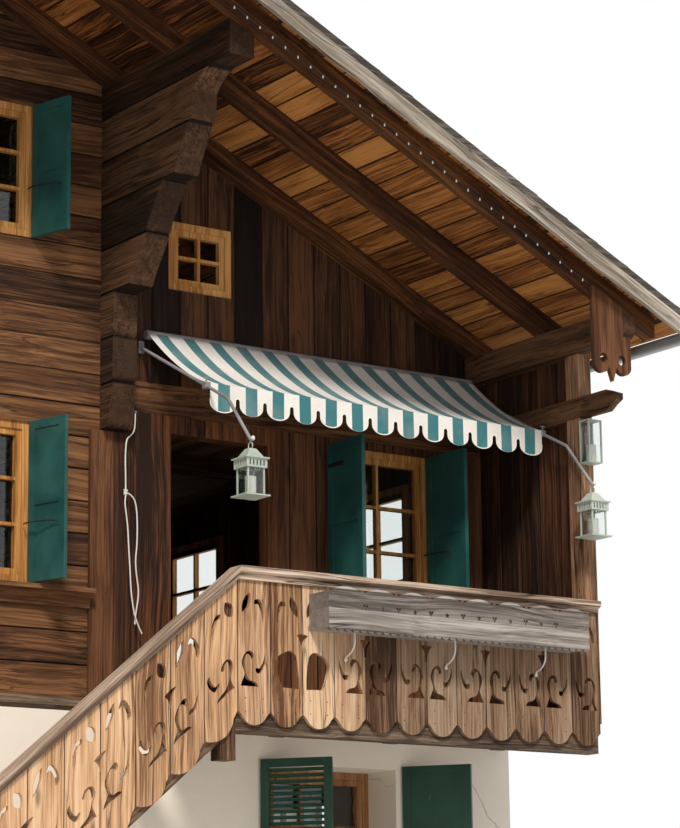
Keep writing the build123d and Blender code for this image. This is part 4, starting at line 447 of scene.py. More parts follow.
dress(timber("front_logs", LOG_TONES, "XZ", start=LOG_START, gap=0.006), "lower_log_walls", "gable_log_walls")
dress(timber("side_logs", LOG_TONES, "YZ", start=LOG_START, gap=0.006), "side_log_walls")
dress(timber("corbel_logs", CORBEL_TONES, "YZ", pitch=CORBEL_LOG_HEIGHT, start=CORBEL_START, gap=0.011,
             cracks=1.0, relief=0.008), "corbels")
dress(timber("upright_boards", BOARD_TONES, "ZX", pitch=BOARD_PITCH, start=BOARD_START, gap=0.007,
             both_sides=True), "gallery_end_boards")
# The gable boards under the eaves take much darker tones than the other boards: painted shade of the roof
# overhang.
dress(timber("gable_boards", SHADED_GABLE_TONES, "ZX", pitch=BOARD_PITCH, start=BOARD_START, gap=0.009,
             both_sides=True, board_contrast=0.8), "gallery_gable_boards")
dress(timber("upright_side_boards", BOARD_TONES, "ZY", pitch=SIDE_BOARD_PITCH, start=SIDE_BOARD_START,
             gap=0.007), "gallery_side_boards", "wing_walls", "room_doors")
dress(timber("post_wood", BOARD_TONES, "ZX", pitch=0.8, cracks=1.0), "corner_planks", "pendant_boards")
dress(timber("jamb_wood", JAMB_TONES, "ZX", pitch=0.8), "door_frames")
# The balcony posts take lighter tones than the other posts: painted sunlight on them.
dress(timber("sunny_post", SUNNY_TONES, "ZX", pitch=0.8, cracks=1.0), "balcony_posts")
dress(timber("level_boards", LEVEL_TONES, "XZ", pitch=0.5), "window_cornices", "gallery_lintels")
dress(timber("weathered_sill", SILL_TONES, "XZ", pitch=0.5, cracks=1.0), "sill_beams", "balcony_beams")
dress(timber("plank_floor", PLANK_TONES, "YX", pitch=0.16, gap=0.004), "living_floor", "upper_floors",
      "floor_beams")

# Roof timbers and boards. Hewn purlins and rafters that carry a deck of broad boards, laid along
# the eaves and warm orange brown where light comes in under the roof.
ROOF_RISE = 0.48557
ROOF_SLOPE = math.atan(ROOF_RISE)
ROOF_SLOPE_DEG = math.degrees(ROOF_SLOPE)
ROOF_SIDES = (("right", 1), ("left", -1))
RAFTER_TONES = (0.012, 0.004, 0.002), (0.055, 0.019, 0.006), (0.18, 0.070, 0.021)
PURLIN_TONES = (0.012, 0.006, 0.003), (0.052, 0.024, 0.011), (0.15, 0.076, 0.036)
SOFFIT_TONES = (0.036, 0.011, 0.003), (0.270, 0.093, 0.021), (0.54, 0.230, 0.062)

for side, hand in ROOF_SIDES:
    dress(timber(side + "_rafter_wood", RAFTER_TONES, "XY", pitch=0.9, slope_deg=-hand * ROOF_SLOPE_DEG),
          side + "_rafters")
    dress(timber(side + "_soffit", SOFFIT_TONES, "YX", pitch=0.2, slope_deg=-hand * ROOF_SLOPE_DEG,
                 gap=0.009, board_contrast=0.65, knots=1.0), side + "_roof_boards")
dress(timber("cross_beam_wood", RAFTER_TONES, "XY", pitch=1.0), "gallery_ceiling_beams")
dress(timber("purlin_wood", PURLIN_TONES, "YX", pitch=1.7, cracks=1.0), "purlins", "wing_beams")

# Roof covering. Courses of split shingles, each a thin wedge nailed over the course below, with
# uneven widths and butts that the weather has turned grey.
SHINGLE_WIDTH, SHINGLE_LENGTH, SHINGLE_BUTT, SHINGLE_HEAD = 0.135, 0.165, 0.014, 0.004
SHINGLE_COURSE, SHINGLE_CORNERS, SHINGLE_SEED = 0.155, 8, 7
SHINGLE_NARROWING, SHINGLE_SLIDE, SHINGLE_THICKENING = (0.02, 0.14), (-0.012, 0.004), (0.7, 1.25)
RIDGE_GAP, FRONT_GAP, SHINGLE_SINK = 0.12, 0.004, 0.002
COVERING_LOW, COVERING_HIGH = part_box("right_roof_covering")
UNDER_TONES = (0.05, 0.042, 0.035), (0.13, 0.112, 0.095), (0.26, 0.235, 0.205)
SHINGLE_TONES = (0.045, 0.038, 0.032), (0.14, 0.122, 0.104), (0.33, 0.30, 0.265)

dress(timber("under_shingles", UNDER_TONES, "XY", pitch=0.12, board_contrast=0.8),
      "right_roof_covering", "left_roof_covering", "ridge_cap")
courses = int((COVERING_HIGH.x / math.cos(ROOF_SLOPE) - RIDGE_GAP) / SHINGLE_COURSE)
per_course = int((COVERING_HIGH.y - COVERING_LOW.y) / SHINGLE_WIDTH)
shingles = primitive(bpy.ops.mesh.primitive_cube_add, size=1,
                     location=(SHINGLE_LENGTH / 2, SHINGLE_WIDTH / 2, SHINGLE_BUTT / 2),
                     scale=(SHINGLE_LENGTH, SHINGLE_WIDTH, SHINGLE_BUTT))
for vertex in shingles.data.vertices:
    if vertex.co.x < SHINGLE_LENGTH / 2 and vertex.co.z > SHINGLE_HEAD:
        vertex.co.z = SHINGLE_HEAD
for count, step in ((per_course, (0.0, SHINGLE_WIDTH, 0.0)), (courses, (SHINGLE_COURSE, 0.0, 0.0))):
    modified(shingles, "ARRAY", count=count, use_relative_offset=False, use_constant_offset=True,
             constant_offset_displace=step)
chance = random.Random(SHINGLE_SEED)
mesh = shingles.data
tones = mesh.attributes.new("tone", "FLOAT", "POINT")
for first in range(0, len(mesh.vertices), SHINGLE_CORNERS):
    course, column = divmod(first // SHINGLE_CORNERS, per_course)
    narrow = chance.uniform(*SHINGLE_NARROWING)
    slide = chance.uniform(*SHINGLE_SLIDE)
    thick = chance.uniform(*SHINGLE_THICKENING)
    own_tone = chance.random()
    stagger = (course % 2) * SHINGLE_WIDTH / 2 if column < per_course - 1 else 0.0
    middle = (column + 0.5) * SHINGLE_WIDTH
    for index in range(first, first + SHINGLE_CORNERS):
        spot = mesh.vertices[index].co
        spot.y = middle + (spot.y - middle) * (1 - narrow) + stagger
        spot.x += slide
        spot.z *= thick
        tones.data[index].value = own_tone
slope_turn = Matrix.Rotation(ROOF_SLOPE, 4, "Y")
head = Matrix.Translation((0.0, COVERING_LOW.y + FRONT_GAP, COVERING_HIGH.z)) @ slope_turn
mesh.transform(head @ Matrix.Translation((RIDGE_GAP, 0.0, -SHINGLE_SINK)))
left_shingles = shingles.copy()
left_shingles.data = mesh.copy()
bpy.context.scene.collection.objects.link(left_shingles)
left_shingles.data.transform(Matrix.Scale(-1, 4, (1, 0, 0)))
left_shingles.data.flip_normals()
for piece, (side, hand) in zip((shingles, left_shingles), ROOF_SIDES):
    finish = timber(side + "_shingles", SHINGLE_TONES, "XY", slope_deg=-hand * ROOF_SLOPE_DEG,
                    tone_of="tone", board_contrast=0.6, knots=0.1, relief=0.002)
    placed(piece, side + "_shingles", finish)

# Verge boards. Waney-edged boards nailed up the rakes under the shingle ends, bleached silver, their
# lower edge left as the log had it.
VERGE_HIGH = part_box("verge_boards")[1]
VERGE_HEIGHT, VERGE_WAVE, VERGE_THICKNESS, VERGE_STEPS = 0.126, 0.012, 0.034, 160
VERGE_WAVES = ((1.0, 3.1), (0.6, 7.7), (0.4, 17.0))
VERGE_INSET = 0.001
VERGE_TONES = (0.20, 0.165, 0.13), (0.46, 0.40, 0.33), (0.70, 0.65, 0.57)


def in_edit_mode(operator, **settings):
    """Runs a mesh operator on the whole of the active piece."""
    bpy.ops.object.mode_set(mode="EDIT")
    bpy.ops.mesh.select_all(action="SELECT")
    operator(**settings)
    bpy.ops.object.mode_set(mode="OBJECT")


def waney_board(side, end):
    """One rake board; side is +1 on the right, end is +1 at the back."""
    board = primitive(bpy.ops.mesh.primitive_grid_add, x_subdivisions=VERGE_STEPS, y_subdivisions=3, size=1)
    phases = (side, end, side + end)
    for vertex in board.data.vertices:
        x, drop = (vertex.co.x + 0.5) * VERGE_HIGH.x, 0.5 - vertex.co.y
        wave = sum(size * math.sin(x * pace + phase) for (size, pace), phase in zip(VERGE_WAVES, phases))
        z = VERGE_HIGH.z - x * ROOF_RISE - drop * (VERGE_HEIGHT + VERGE_WAVE * wave / 2)
        vertex.co = (side * x, end * (VERGE_HIGH.y - VERGE_INSET), z)
    modified(board, "SOLIDIFY", thickness=VERGE_THICKNESS, offset=1.0 if side * end > 0 else -1.0)
    in_edit_mode(bpy.ops.mesh.normals_make_consistent, inside=False)
    return board


for side, hand in ROOF_SIDES:
    finish = timber(side + "_verge_wood", VERGE_TONES, "XY", pitch=5.0, slope_deg=-hand * ROOF_SLOPE_DEG,
                    knots=0.3, cracks=1.0)
    verge = joined([waney_board(hand, -1), waney_board(hand, 1)])
    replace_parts(placed(verge, side + "_verge_boards", finish), "verge_boards")

# String of lights. Small white bulbs on a thin dark wire, clipped along the lower front edge of the
# outermost rafters.
BULB_PITCH, BULB_RADIUS, BULB_STRETCH = 0.105, 0.008, (0.8, 0.8, 1.5)
BULB_OFF_EDGE = Vector((0.0, -0.008, -0.006))
WIRE_RADIUS, WIRE_SLACK = 0.0025, 0.008
STRING_START, STRING_LENGTH = 0.12, 6.5
RAKE_FRONT, RAKE_FOOT, RAKE_FOOT_X, RAKE_INSET = -6.04, 5.4015, 6.57, 0.012


def rake_edge(x):
    """Point on the lower front edge of the outermost rafter."""
    return Vector((x, RAKE_FRONT, RAKE_FOOT + (RAKE_FOOT_X - abs(x)) * ROOF_RISE + RAKE_INSET))


def ball(radius, stretch, place=(0.0, 0.0, 0.0), segments=16, rings=10):
    """Small smooth ball, stretched about its own middle."""
    made = primitive(bpy.ops.mesh.primitive_uv_sphere_add, segments=segments, ring_count=rings,
                     radius=radius, location=place)
    in_edit_mode(bpy.ops.transform.resize, value=stretch)
    bpy.ops.object.shade_smooth()
    return made


def rod(points, radius, **form):
    """Round wire or iron bent through the given points, as a mesh."""
    alone(line_through(points, radius, **form))
    bpy.ops.object.convert(target="MESH")
    return bpy.context.object


def scattered(piece, places):
    """One mesh of copies of a small piece, moved to the given places."""
    copies = []
    for place in places:
        copy = piece.copy()
        copy.data = piece.data.copy()
        copy.data.transform(Matrix.Translation(place))
        bpy.context.scene.collection.objects.link(copy)
        copies.append(copy)
    bpy.data.objects.remove(piece)
    return joined(copies)


bulb_white, tree, shader, place = new_finish("bulb_white", roughness=0.25)
coloured(tree, shader, noise(tree, place, 90.0), (0.72, 0.71, 0.66), (0.90, 0.89, 0.85))
wire_black, tree, shader, place = new_finish("wire_black", roughness=0.5)
dusty = noise(tree, place, 12.0, detail=3.0)
coloured(tree, shader, dusty, (0.012, 0.012, 0.012), (0.05, 0.045, 0.04))

bulb_count = int(STRING_LENGTH / BULB_PITCH)
bulb_places, wires = [], []
for side in (1, -1):
    for index in range(bulb_count):
        bulb_places.append(rake_edge(side * (STRING_START + index * BULB_PITCH)) + BULB_OFF_EDGE)
    wire_points = []
    for index in range(2 * bulb_count - 1):
        lift = WIRE_SLACK if index % 2 else 0.0
        edge = rake_edge(side * (STRING_START + index * BULB_PITCH / 2))
        wire_points.append(edge + Vector((0.0, -WIRE_RADIUS, lift)))
    wires.append(rod(wire_points, WIRE_RADIUS, ring_steps=1, run_steps=2))
bulbs = scattered(ball(BULB_RADIUS, BULB_STRETCH, segments=8, rings=6), bulb_places)
placed(bulbs, "rafter_bulbs", bulb_white)
placed(joined(wires), "rafter_wire", wire_black)

# Windows. Varnished frames with narrow bars, honey coloured above and browner in the base, and old
# glass that ripples a little.
HONEY_TONES = (0.22, 0.085, 0.022), (0.50, 0.225, 0.062), (0.72, 0.40, 0.15)
BROWN_TONES = (0.12, 0.050, 0.020), (0.30, 0.140, 0.060), (0.46, 0.25, 0.12)


def clear_glass(name, tint, roughness, ripple, depth, strength, detail=2.0, refraction=1.5):
    """Glass with a faint tint and an uneven face, whose ripple is the scale of its noise."""
    material, tree, shader, place = new_finish(name, roughness=roughness)
    shader.inputs["Base Color"].default_value = rgba(tint)
    shader.inputs["Transmission Weight"].default_value = 1.0
    shader.inputs["IOR"].default_value = refraction
    raised(tree, shader, noise(tree, place, ripple, detail=detail), depth, strength)
    return material


for name, tones, frames in (("honey_frames", HONEY_TONES, "window_frames"),
                            ("brown_frames", BROWN_TONES, "base_window_frames")):
    dress(timber(name, tones, "ZX", pitch=0.5, board_contrast=0.2, cracks=0.2, knots=0.2, relief=0.001),
          frames)
dress(clear_glass("window_glass", (0.93, 0.97, 0.96), roughness=0.02, ripple=2.2, depth=0.004,
                  strength=0.3, detail=1.0, refraction=1.45), "window_glass")

# Shutters. Framed leaves under old oil paint, teal on the living storeys and dark green below,
# faded in patches and worn to the wood in small flecks.
TEAL_PAINT, TEAL_FADED = (0.007, 0.060, 0.054), (0.022, 0.120, 0.106)
GREEN_PAINT, GREEN_FADED = (0.006, 0.046, 0.028), (0.016, 0.082, 0.052)
BARE_WOOD, PAINT_RELIEF = (0.20, 0.15, 0.11), 0.0012


def old_paint(name, colour, faded, under=BARE_WOOD):
    """Oil paint, faded in patches and worn off in small flecks."""
    material, tree, shader, place = new_finish(name, roughness=0.45)
    patches = noise(tree, place, 3.0, detail=4.0, roughness=0.6)
    strokes = noise(tree, place, (60.0, 60.0, 4.0), detail=2.0)
    flecks = noise(tree, place, (38.0, 38.0, 14.0), detail=3.0, roughness=0.65)
    worn = spread(tree, flecks, 0.72, 0.75)
    coloured(tree, shader, worn, blended(tree, spread(tree, patches, 0.35, 0.75), colour, faded), under)
    tree.links.new(spread(tree, patches, 0.2, 0.8, 0.38, 0.6), shader.inputs["Roughness"])
    raised(tree, shader, sums(tree, "SUBTRACT", sums(tree, "MULTIPLY", strokes, 0.4), worn), PAINT_RELIEF)
    return material


dress(old_paint("teal_paint", TEAL_PAINT, TEAL_FADED), "upper_shutters")
dress(old_paint("green_paint", GREEN_PAINT, GREEN_FADED), "base_shutters")

# Shutter ironwork. Each leaf of the living storeys hangs on two strap hinges and is held open by a
# hooked stay bar from the window frame.
FRONT_FACE, LEAF_THICKNESS = -4.2, 0.032
STRAP_LENGTH, STRAP_HEIGHT, STRAP_THICKNESS = 0.20, 0.032, 0.004
STRAP_LEVELS, STRAP_LET_IN, STRAP_EASE = (0.14, 0.86), 0.001, 0.0015
STAY_RADIUS, STAY_REACH, STAY_LEVEL, STAY_OFF_LEAF = 0.005, 0.27, 0.36, 0.006
EYE_ASIDE, EYE_OUT, KNEE_ASIDE, KNEE_OUT, STAY_BOW, HOOK_BEND = 0.045, 0.004, 0.02, 0.05, 0.012, 0.02
# Middle, sill, leaf height, width and opening angle of each window on the right half of the front.
UPPER_WINDOWS = ((0.725, 3.34, 1.15, 0.72, 105.0), (2.175, 3.34, 1.15, 0.72, 105.0),
                 (0.725, 5.84, 0.99, 0.72, 105.0), (2.175, 5.84, 0.99, 0.72, 105.0),
                 (5.575, 3.40, 1.21, 0.93, 92.0))

iron, tree, shader, place = new_finish("wrought_iron", roughness=0.55, metallic=0.7)
rust = noise(tree, place, 25.0, detail=4.0)
coloured(tree, shader, spread(tree, rust, 0.45, 0.7), (0.03, 0.03, 0.032), (0.085, 0.05, 0.034))
raised(tree, shader, rust, 0.0008)


def block(x, y, z, ease):
    """Squared piece between pairs of values, with eased edges."""
    made = primitive(bpy.ops.mesh.primitive_cube_add, size=1,
                     location=[(low + high) / 2 for low, high in (x, y, z)],
                     scale=[high - low for low, high in (x, y, z)])
    in_edit_mode(bpy.ops.mesh.bevel, offset=ease, segments=2)
    return made


def ironwork(hinge_x, sill_z, height, open_deg, hand, end, side):
    """Straps and stay of one leaf, for which hand is +1 right of its window.

    end is -1 in front and +1 at the back, side is -1 on the left half of the house."""
    swing = math.radians(180 - open_deg)
    along = Vector((hand * math.cos(swing), -math.sin(swing), 0.0))
    outward = Vector((hand * math.sin(swing), math.cos(swing), 0.0))
    start = Vector((hinge_x, FRONT_FACE - LEAF_THICKNESS / 2, sill_z))
    leaf_turn = Matrix((along, outward, (0, 0, 1))).transposed().to_4x4()
    pieces = []
    for share in STRAP_LEVELS:
        face = LEAF_THICKNESS / 2
        strap = block((0.0, STRAP_LENGTH), (face - STRAP_LET_IN, face + STRAP_THICKNESS),
                      (share * height - STRAP_HEIGHT / 2, share * height + STRAP_HEIGHT / 2), STRAP_EASE)
        strap.data.transform(Matrix.Translation(start) @ leaf_turn)
        if hand < 0:
            strap.data.flip_normals()
        pieces.append(strap)
    catch = start + along * STAY_REACH - outward * (LEAF_THICKNESS / 2 + STAY_OFF_LEAF)
    catch.z += STAY_LEVEL * height
    eye = Vector((hinge_x - hand * EYE_ASIDE, FRONT_FACE - EYE_OUT, catch.z))
    knee = eye + Vector((-hand * KNEE_ASIDE, -KNEE_OUT, 0.0))
    hook = catch + along * HOOK_BEND - Vector((0, 0, HOOK_BEND))
    pieces.append(rod([eye, eye.lerp(knee, 0.9), knee.lerp(catch, 0.5) - outward * STAY_BOW, catch, hook],
                      STAY_RADIUS))
    whole = joined(pieces)
    whole.data.transform(Matrix.Diagonal((side, -end, 1.0, 1.0)))
    if side * end > 0:
        whole.data.flip_normals()
    return whole


held_open = [ironwork(middle + hand * width / 2, sill_z, height, open_deg, hand, end, side)
             for middle, sill_z, height, width, open_deg in UPPER_WINDOWS
             for hand in (1, -1) for side in (1, -1) for end in (-1, 1)]
placed(joined(held_open), "shutter_ironwork", iron)

# Balconies and stair. Sawn boards that the weather has bleached to a golden brown, darker towards the ends
# under the flower box, partly from weathering and partly as painted shade of the box, with a lighter copy of
# their tones on the stair boards as painted sunlight, under pale moulded handrails.
BALCONY_START, BALCONY_PITCH, BALCONY_JOINT = 3.41, 0.265, 0.004
FLIGHT_FOOT, FLIGHT_DEG = 0.5, 40.0
FLIGHT = (FLIGHT_FOOT, BALCONY_START, math.tan(math.radians(FLIGHT_DEG)))
WEATHER_AND_SHADE_FROM, WEATHER_AND_SHADE_TO, WEATHER_AND_SHADE_TINT = 4.2, 4.7, (0.48, 0.49, 0.52)
NAIL_RADIUS, NAIL_TIP, NAIL_DEPTH, BOARD_FACE = 0.005, 0.002, 0.003, -5.521
NAIL_LEVELS, NAIL_OFFSETS, NAIL_WANDER, NAILED_BOARDS = (2.37, 2.46, 3.13), (-0.07, 0.07), 0.004, 12
BALCONY_TONES = (0.105, 0.046, 0.020), (0.42, 0.235, 0.125), (0.68, 0.47, 0.30)
SUNLIT_STAIR_BOARD_TONES = (0.17, 0.080, 0.038), (0.63, 0.375, 0.205), (0.86, 0.62, 0.41)
RAIL_TONES = (0.20, 0.130, 0.090), (0.60, 0.45, 0.34), (0.84, 0.71, 0.59)
STAIR_TONES = (0.09, 0.055, 0.034), (0.27, 0.175, 0.110), (0.45, 0.32, 0.22)

balcony_wood = timber("balcony_wood", BALCONY_TONES, "ZX", pitch=BALCONY_PITCH, start=BALCONY_START,
                      gap=BALCONY_JOINT, both_sides=True, board_contrast=0.7, grain_contrast=1.5)
tree = balcony_wood.node_tree
base_colour = tree.nodes["Principled BSDF"].inputs["Base Color"]
# The boards far out from the middle, under the flower box, are multiplied darker: partly weathering, partly
# painted shade of the box.
from_middle = sums(tree, "ABSOLUTE", axes_of(tree, tree.nodes.new("ShaderNodeTexCoord").outputs["Object"])[0])
weather_and_shade = spread(tree, from_middle, WEATHER_AND_SHADE_FROM, WEATHER_AND_SHADE_TO)
tree.links.new(blended(tree, weather_and_shade, base_colour.links[0].from_socket, WEATHER_AND_SHADE_TINT, way="MULTIPLY"), base_colour)
dress(balcony_wood, "balcony_boards")
# The stair boards take a lighter copy of the balcony boards' tones: painted sunlight on the flight.
dress(timber("sunlit_stair_board_wood", SUNLIT_STAIR_BOARD_TONES, "ZX", pitch=BALCONY_PITCH, start=BALCONY_START,
             gap=BALCONY_JOINT, board_contrast=0.35, grain_contrast=1.0), "stair_boards")
dress(timber("rail_wood", RAIL_TONES, "XY", pitch=3.0, stair=FLIGHT, knots=0.2, cracks=1.0), "handrails")
dress(timber("stair_wood", STAIR_TONES, "YX", pitch=0.3), "stair_treads", "balcony_floors")
dress(timber("stringer_wood", STAIR_TONES, "XY", pitch=0.3, stair=FLIGHT), "stair_stringers")

nail = primitive(bpy.ops.mesh.primitive_cone_add, vertices=8, radius1=NAIL_RADIUS, radius2=NAIL_TIP,
                 depth=NAIL_DEPTH, rotation=(math.radians(90), 0, 0))
nail_places = [(side * (BALCONY_START + BALCONY_PITCH * (index + 0.5) + off), BOARD_FACE,
                level + NAIL_WANDER * ((index * 7) % 3))
               for side in (1, -1) for index in range(NAILED_BOARDS) for off in NAIL_OFFSETS
               for level in NAIL_LEVELS]
placed(scattered(nail, nail_places), "balcony_nails", iron)

# Flower box. Weathered trough with a carved front, hung from the rail and steadied by three white
# iron hooks that bend in under it to the balcony boards.
HOOK_PLACES, HOOK_RADIUS = (4.28, 5.15, 5.97), 0.006
HOOK_ROUTE = ((0.0, -5.66, 2.952), (0.0, -5.665, 2.90), (0.0, -5.655, 2.845), (0.006, -5.60, 2.80),
              (0.01, -5.545, 2.79), (0.012, -5.530, 2.775))
HOOK_BALL, HOOK_BALL_STRETCH, HOOK_BALL_PLACE = 0.013, (1.0, 0.8, 1.15), (0.012, -5.534, 2.768)
BOX_TONES = (0.085, 0.070, 0.062), (0.25, 0.215, 0.190), (0.46, 0.42, 0.38)

dress(timber("flower_box_wood", BOX_TONES, "XZ", pitch=0.135, start=2.95, cracks=1.0), "flower_box")
hook_white = old_paint("hook_white", (0.62, 0.61, 0.56), (0.80, 0.79, 0.74), (0.22, 0.16, 0.12))
hooks = []
for x in HOOK_PLACES:
    aside = Vector((x, 0.0, 0.0))
    hooks.append(rod([aside + Vector(point) for point in HOOK_ROUTE], HOOK_RADIUS))
    hooks.append(ball(HOOK_BALL, HOOK_BALL_STRETCH, aside + Vector(HOOK_BALL_PLACE)))
placed(joined(hooks), "flower_box_hooks", hook_white)

# Gutters. Half-round dull zinc along both eaves, with the cloudy bloom that zinc takes on in the
# open air.
zinc, tree, shader, place = new_finish("zinc", roughness=0.45, metallic=1.0)
bloom = noise(tree, place, 5.0, detail=4.0)
coloured(tree, shader, bloom, (0.36, 0.38, 0.39), (0.55, 0.57, 0.58))
tree.links.new(spread(tree, bloom, 0.3, 0.7, 0.35, 0.6), shader.inputs["Roughness"])
dress(zinc, "gutters")

# Awning frame. Grey galvanized tubes pivot on wall brackets, are clamped to the front bar with a
# wing screw, and end in a plastic plug past the lantern's ring.
ARM_PLACES, BAR_PLACE = (3.436, 6.474), (-5.09, 4.691)
CLAMP_INNER, CLAMP_OUTER, CLAMP_DEPTH, CLAMP_HEIGHT, CLAMP_EASE = 0.018, 0.026, 0.026, 0.024, 0.006
SCREW_ROUTE, SCREW_RADIUS = ((0.0, 0.0, 0.02), (0.0, -0.004, 0.04), (0.0, -0.006, 0.052)), 0.006
WING_ROUTE, WING_RADIUS = ((-0.02, -0.006, 0.05), (-0.01, -0.006, 0.062), (0.0, -0.006, 0.052),
                           (0.01, -0.006, 0.062), (0.02, -0.006, 0.05)), 0.0045
PLUG_RADIUS, PLUG_STRETCH, PLUG_ASIDE, PLUG_PLACE = 0.015, (1.0, 0.9, 1.2), 0.016, (-5.658, 4.2146)

arm_grey = old_paint("arm_grey", (0.20, 0.20, 0.205), (0.34, 0.34, 0.345), (0.12, 0.10, 0.085))
dress(arm_grey, "awning_frame")
clamps, plugs = [], []
for x, hand in zip(ARM_PLACES, (1, -1)):
    y, z = BAR_PLACE
    bar = Vector((x, y, z))
    clamps.append(block(sorted((x - hand * CLAMP_INNER, x + hand * CLAMP_OUTER)),
                        (y - CLAMP_DEPTH, y + CLAMP_DEPTH), (z - CLAMP_HEIGHT, z + CLAMP_HEIGHT), CLAMP_EASE))
    clamps.append(rod([bar + Vector(point) for point in SCREW_ROUTE], SCREW_RADIUS))
    clamps.append(rod([bar + Vector(point) for point in WING_ROUTE], WING_RADIUS))
    plugs.append(ball(PLUG_RADIUS, PLUG_STRETCH, (x + PLUG_ASIDE, *PLUG_PLACE)))
placed(joined(clamps), "awning_clamps", arm_grey)
placed(joined(plugs), "arm_plugs", hook_white)

# Awning cloth. Woven canvas in teal and off-white stripes, wound on the roller at the wall and laced to
# the front bar, where it hangs over as a valance of deep scallops bound with white tape.
AWNING_LOW, AWNING_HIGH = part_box("awning_cloth")
AWNING_WIDTH = AWNING_HIGH.x - AWNING_LOW.x
SCALLOPS, SCALLOP_STEPS, SCALLOP_FULLNESS = 13, 16, 0.8
SCALLOP = AWNING_WIDTH / SCALLOPS
STRIPE_TEAL, STRIPE_WHITE, CANVAS_DUST = (0.030, 0.165, 0.185), (0.80, 0.76, 0.71), (0.42, 0.40, 0.37)
STRIPE_TEAL_HALF, STRIPE_BLUR, THREAD_PITCH, CANVAS_RELIEF = 0.215, 0.006, 0.002, 0.008
ROLLER_POINT, BAR_POINT, CLOTH_SAG = Vector((-4.2703, 5.249)), Vector((-5.1043, 4.709)), 0.06
CLOTH_COLUMNS, CLOTH_ROWS = 130, 24
BILLOW_HEIGHT, BILLOW_PACE = 0.0035, 41.0
FLUTTER_HEIGHT, FLUTTER_PACE, FLUTTER_SKEW = 0.002, 97.0, 6.0
VALANCE_Y, VALANCE_TOP, VALANCE_FOOT, VALANCE_ROWS, VALANCE_CURL = -5.1085, 4.712, 4.507, 6, 0.004
NOTCH_HALF, NOTCH_TOP, NOTCH_STEPS, SHOULDER = 0.020, 4.600, 4, 4.580
CLOTH_THICKNESS, TAPE_RADIUS, TAPE_LIFT, TAPE_FLATNESS = 0.0018, 0.0045, 0.003, 0.55

canvas, tree, shader, place = new_finish("striped_canvas", roughness=0.9)
axes = axes_of(tree, place)
turns = sums(tree, "FRACT", sums(tree, "DIVIDE", sums(tree, "SUBTRACT", axes[0], AWNING_LOW.x), SCALLOP))
off_middle = sums(tree, "ABSOLUTE", sums(tree, "SUBTRACT", turns, 0.5))
is_teal = spread(tree, off_middle, STRIPE_TEAL_HALF - STRIPE_BLUR, STRIPE_TEAL_HALF + STRIPE_BLUR, 1.0, 0.0)
dust = noise(tree, place, 3.0, detail=5.0, roughness=0.6)
striped = blended(tree, is_teal, STRIPE_WHITE, STRIPE_TEAL)
coloured(tree, shader, spread(tree, dust, 0.45, 0.8, 0.0, 0.3), striped, CANVAS_DUST)
warp, weft = (sums(tree, "PINGPONG", sums(tree, "DIVIDE", axes[axis], THREAD_PITCH), 1.0) for axis in (0, 2))
threads = sums(tree, "MULTIPLY", sums(tree, "MULTIPLY", warp, weft), 0.06)
ripples = noise(tree, place, (9.0, 2.0, 2.0), detail=2.0)
raised(tree, shader, sums(tree, "ADD", threads, ripples), CANVAS_RELIEF)
shader.inputs["Sheen Weight"].default_value = 0.2
tape_white, tree, shader, place = new_finish("tape_white", roughness=0.9)
coloured(tree, shader, noise(tree, place, 14.0, detail=3.0), (0.88, 0.86, 0.80), (0.72, 0.70, 0.64))
raised(tree, shader, noise(tree, place, 300.0), 0.0006)

cloth = primitive(bpy.ops.mesh.primitive_grid_add, x_subdivisions=CLOTH_COLUMNS, y_subdivisions=CLOTH_ROWS,
                  size=1)
for vertex in cloth.data.vertices:
    across, down = vertex.co.x + 0.5, 0.5 - vertex.co.y
    belly = 4 * down * (1 - down)
    billow = BILLOW_HEIGHT * math.sin(across * BILLOW_PACE) * belly
    flutter = FLUTTER_HEIGHT * math.sin(across * FLUTTER_PACE + down * FLUTTER_SKEW) * down
    spot = ROLLER_POINT + (BAR_POINT - ROLLER_POINT) * down
    vertex.co = (AWNING_LOW.x + across * AWNING_WIDTH, spot.x, spot.y - CLOTH_SAG * belly + billow + flutter)
modified(cloth, "SOLIDIFY", thickness=CLOTH_THICKNESS, offset=0.0)
bpy.ops.object.shade_smooth()


def hem_outline():
    """Lower edge of the valance from left to right, as (x, z) points."""
    points = [(AWNING_LOW.x, NOTCH_TOP)]
    for index in range(SCALLOPS):
        left = AWNING_LOW.x + index * SCALLOP + (NOTCH_HALF if index else 0.0)
        right = AWNING_LOW.x + (index + 1) * SCALLOP - (NOTCH_HALF if index < SCALLOPS - 1 else 0.0)
        half = (right - left) / 2
        for step in range(SCALLOP_STEPS + 1):
            angle = math.pi * step / SCALLOP_STEPS
            fall = (SHOULDER - VALANCE_FOOT) * math.sin(angle) ** SCALLOP_FULLNESS
            points.append((left + half - half * math.cos(angle), SHOULDER - fall))
        if index < SCALLOPS - 1:
            for step in range(NOTCH_STEPS + 1):
                angle = math.pi * step / NOTCH_STEPS
                points.append((right + NOTCH_HALF - NOTCH_HALF * math.cos(angle),
                               NOTCH_TOP + NOTCH_HALF * math.sin(angle)))
    return points + [(AWNING_HIGH.x, NOTCH_TOP)]


def hang(x, z):
    """Where the valance stands from front to back: its foot curls a little from scallop to scallop."""
    low = (VALANCE_TOP - z) / (VALANCE_TOP - VALANCE_FOOT)
    return VALANCE_Y + low * VALANCE_CURL * math.sin((x - AWNING_LOW.x) * math.pi / SCALLOP)


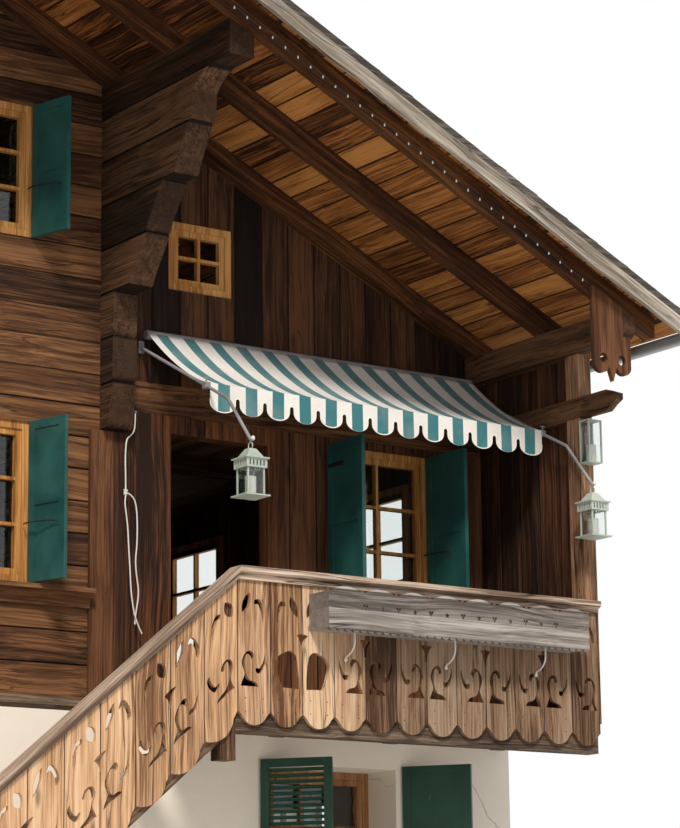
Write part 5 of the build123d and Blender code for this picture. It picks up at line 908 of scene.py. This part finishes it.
outline = hem_outline()
per_column = VALANCE_ROWS + 1
corners = [(x, VALANCE_TOP + (z - VALANCE_TOP) * row / VALANCE_ROWS) for x, z in outline
           for row in range(per_column)]
faces = [(first, first + 1, first + per_column + 1, first + per_column)
         for column in range(len(outline) - 1)
         for first in range(column * per_column, column * per_column + VALANCE_ROWS)]
valance_mesh = bpy.data.meshes.new("valance")
valance_mesh.from_pydata([(x, hang(x, z), z) for x, z in corners], [], faces)
valance = bpy.data.objects.new("valance", valance_mesh)
bpy.context.scene.collection.objects.link(valance)
modified(valance, "SOLIDIFY", thickness=CLOTH_THICKNESS, offset=0.0)
in_edit_mode(bpy.ops.mesh.normals_make_consistent, inside=False)

tape = rod([(x, hang(x, z), z + TAPE_LIFT) for x, z in outline], TAPE_RADIUS, ring_steps=2, kind="POLY",
           caps=False)
for vertex in tape.data.vertices:
    vertex.co.y = VALANCE_Y + (vertex.co.y - VALANCE_Y) * TAPE_FLATNESS
placed(cloth, "awning_canvas", canvas)
placed(valance, "awning_valance", canvas)
placed(tape, "valance_tape", tape_white)
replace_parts(cloth, "awning_cloth")

# Lanterns. Painted sheet-metal lanterns with four glass panes and a stout candle each, two on the
# awning arms and one on the gallery's corner post.
PANE_THICKNESS, PANE_STANDOFF, PANE_EASE = 0.003, 0.006, 0.0006
# Middle, half widths, sill and head of each lantern's glass.
LANTERN_BODIES = ((3.436, -5.6505, 0.058, 0.058, 3.817, 4.000), (6.474, -5.6505, 0.058, 0.058, 3.817, 4.000),
                  (6.565, -5.545, 0.053, 0.043, 4.401, 4.709))

dress(old_paint("lantern_paint", (0.36, 0.42, 0.36), (0.54, 0.59, 0.52), (0.30, 0.24, 0.18)), "lanterns")
wax, tree, shader, place = new_finish("candle_wax", roughness=0.4)
drips = noise(tree, place, (30.0, 30.0, 8.0), detail=2.0)
coloured(tree, shader, drips, (0.78, 0.75, 0.66), (0.90, 0.88, 0.81))
shader.inputs["Subsurface Weight"].default_value = 0.2
raised(tree, shader, drips, 0.002)
dress(wax, "candles")

panes = []
for x, y, half_x, half_y, low, high in LANTERN_BODIES:
    half = PANE_THICKNESS / 2
    for hand in (1, -1):
        side_x, side_y = x + hand * (half_x + PANE_STANDOFF), y + hand * (half_y + PANE_STANDOFF)
        panes.append(block((side_x - half, side_x + half), (y - half_y, y + half_y), (low, high), PANE_EASE))
        panes.append(block((x - half_x, x + half_x), (side_y - half, side_y + half), (low, high), PANE_EASE))
pane_glass = clear_glass("lantern_glass", (0.95, 0.98, 0.97), roughness=0.06, ripple=40.0, depth=0.0006,
                         strength=0.4)
placed(joined(panes), "lantern_panes", pane_glass)
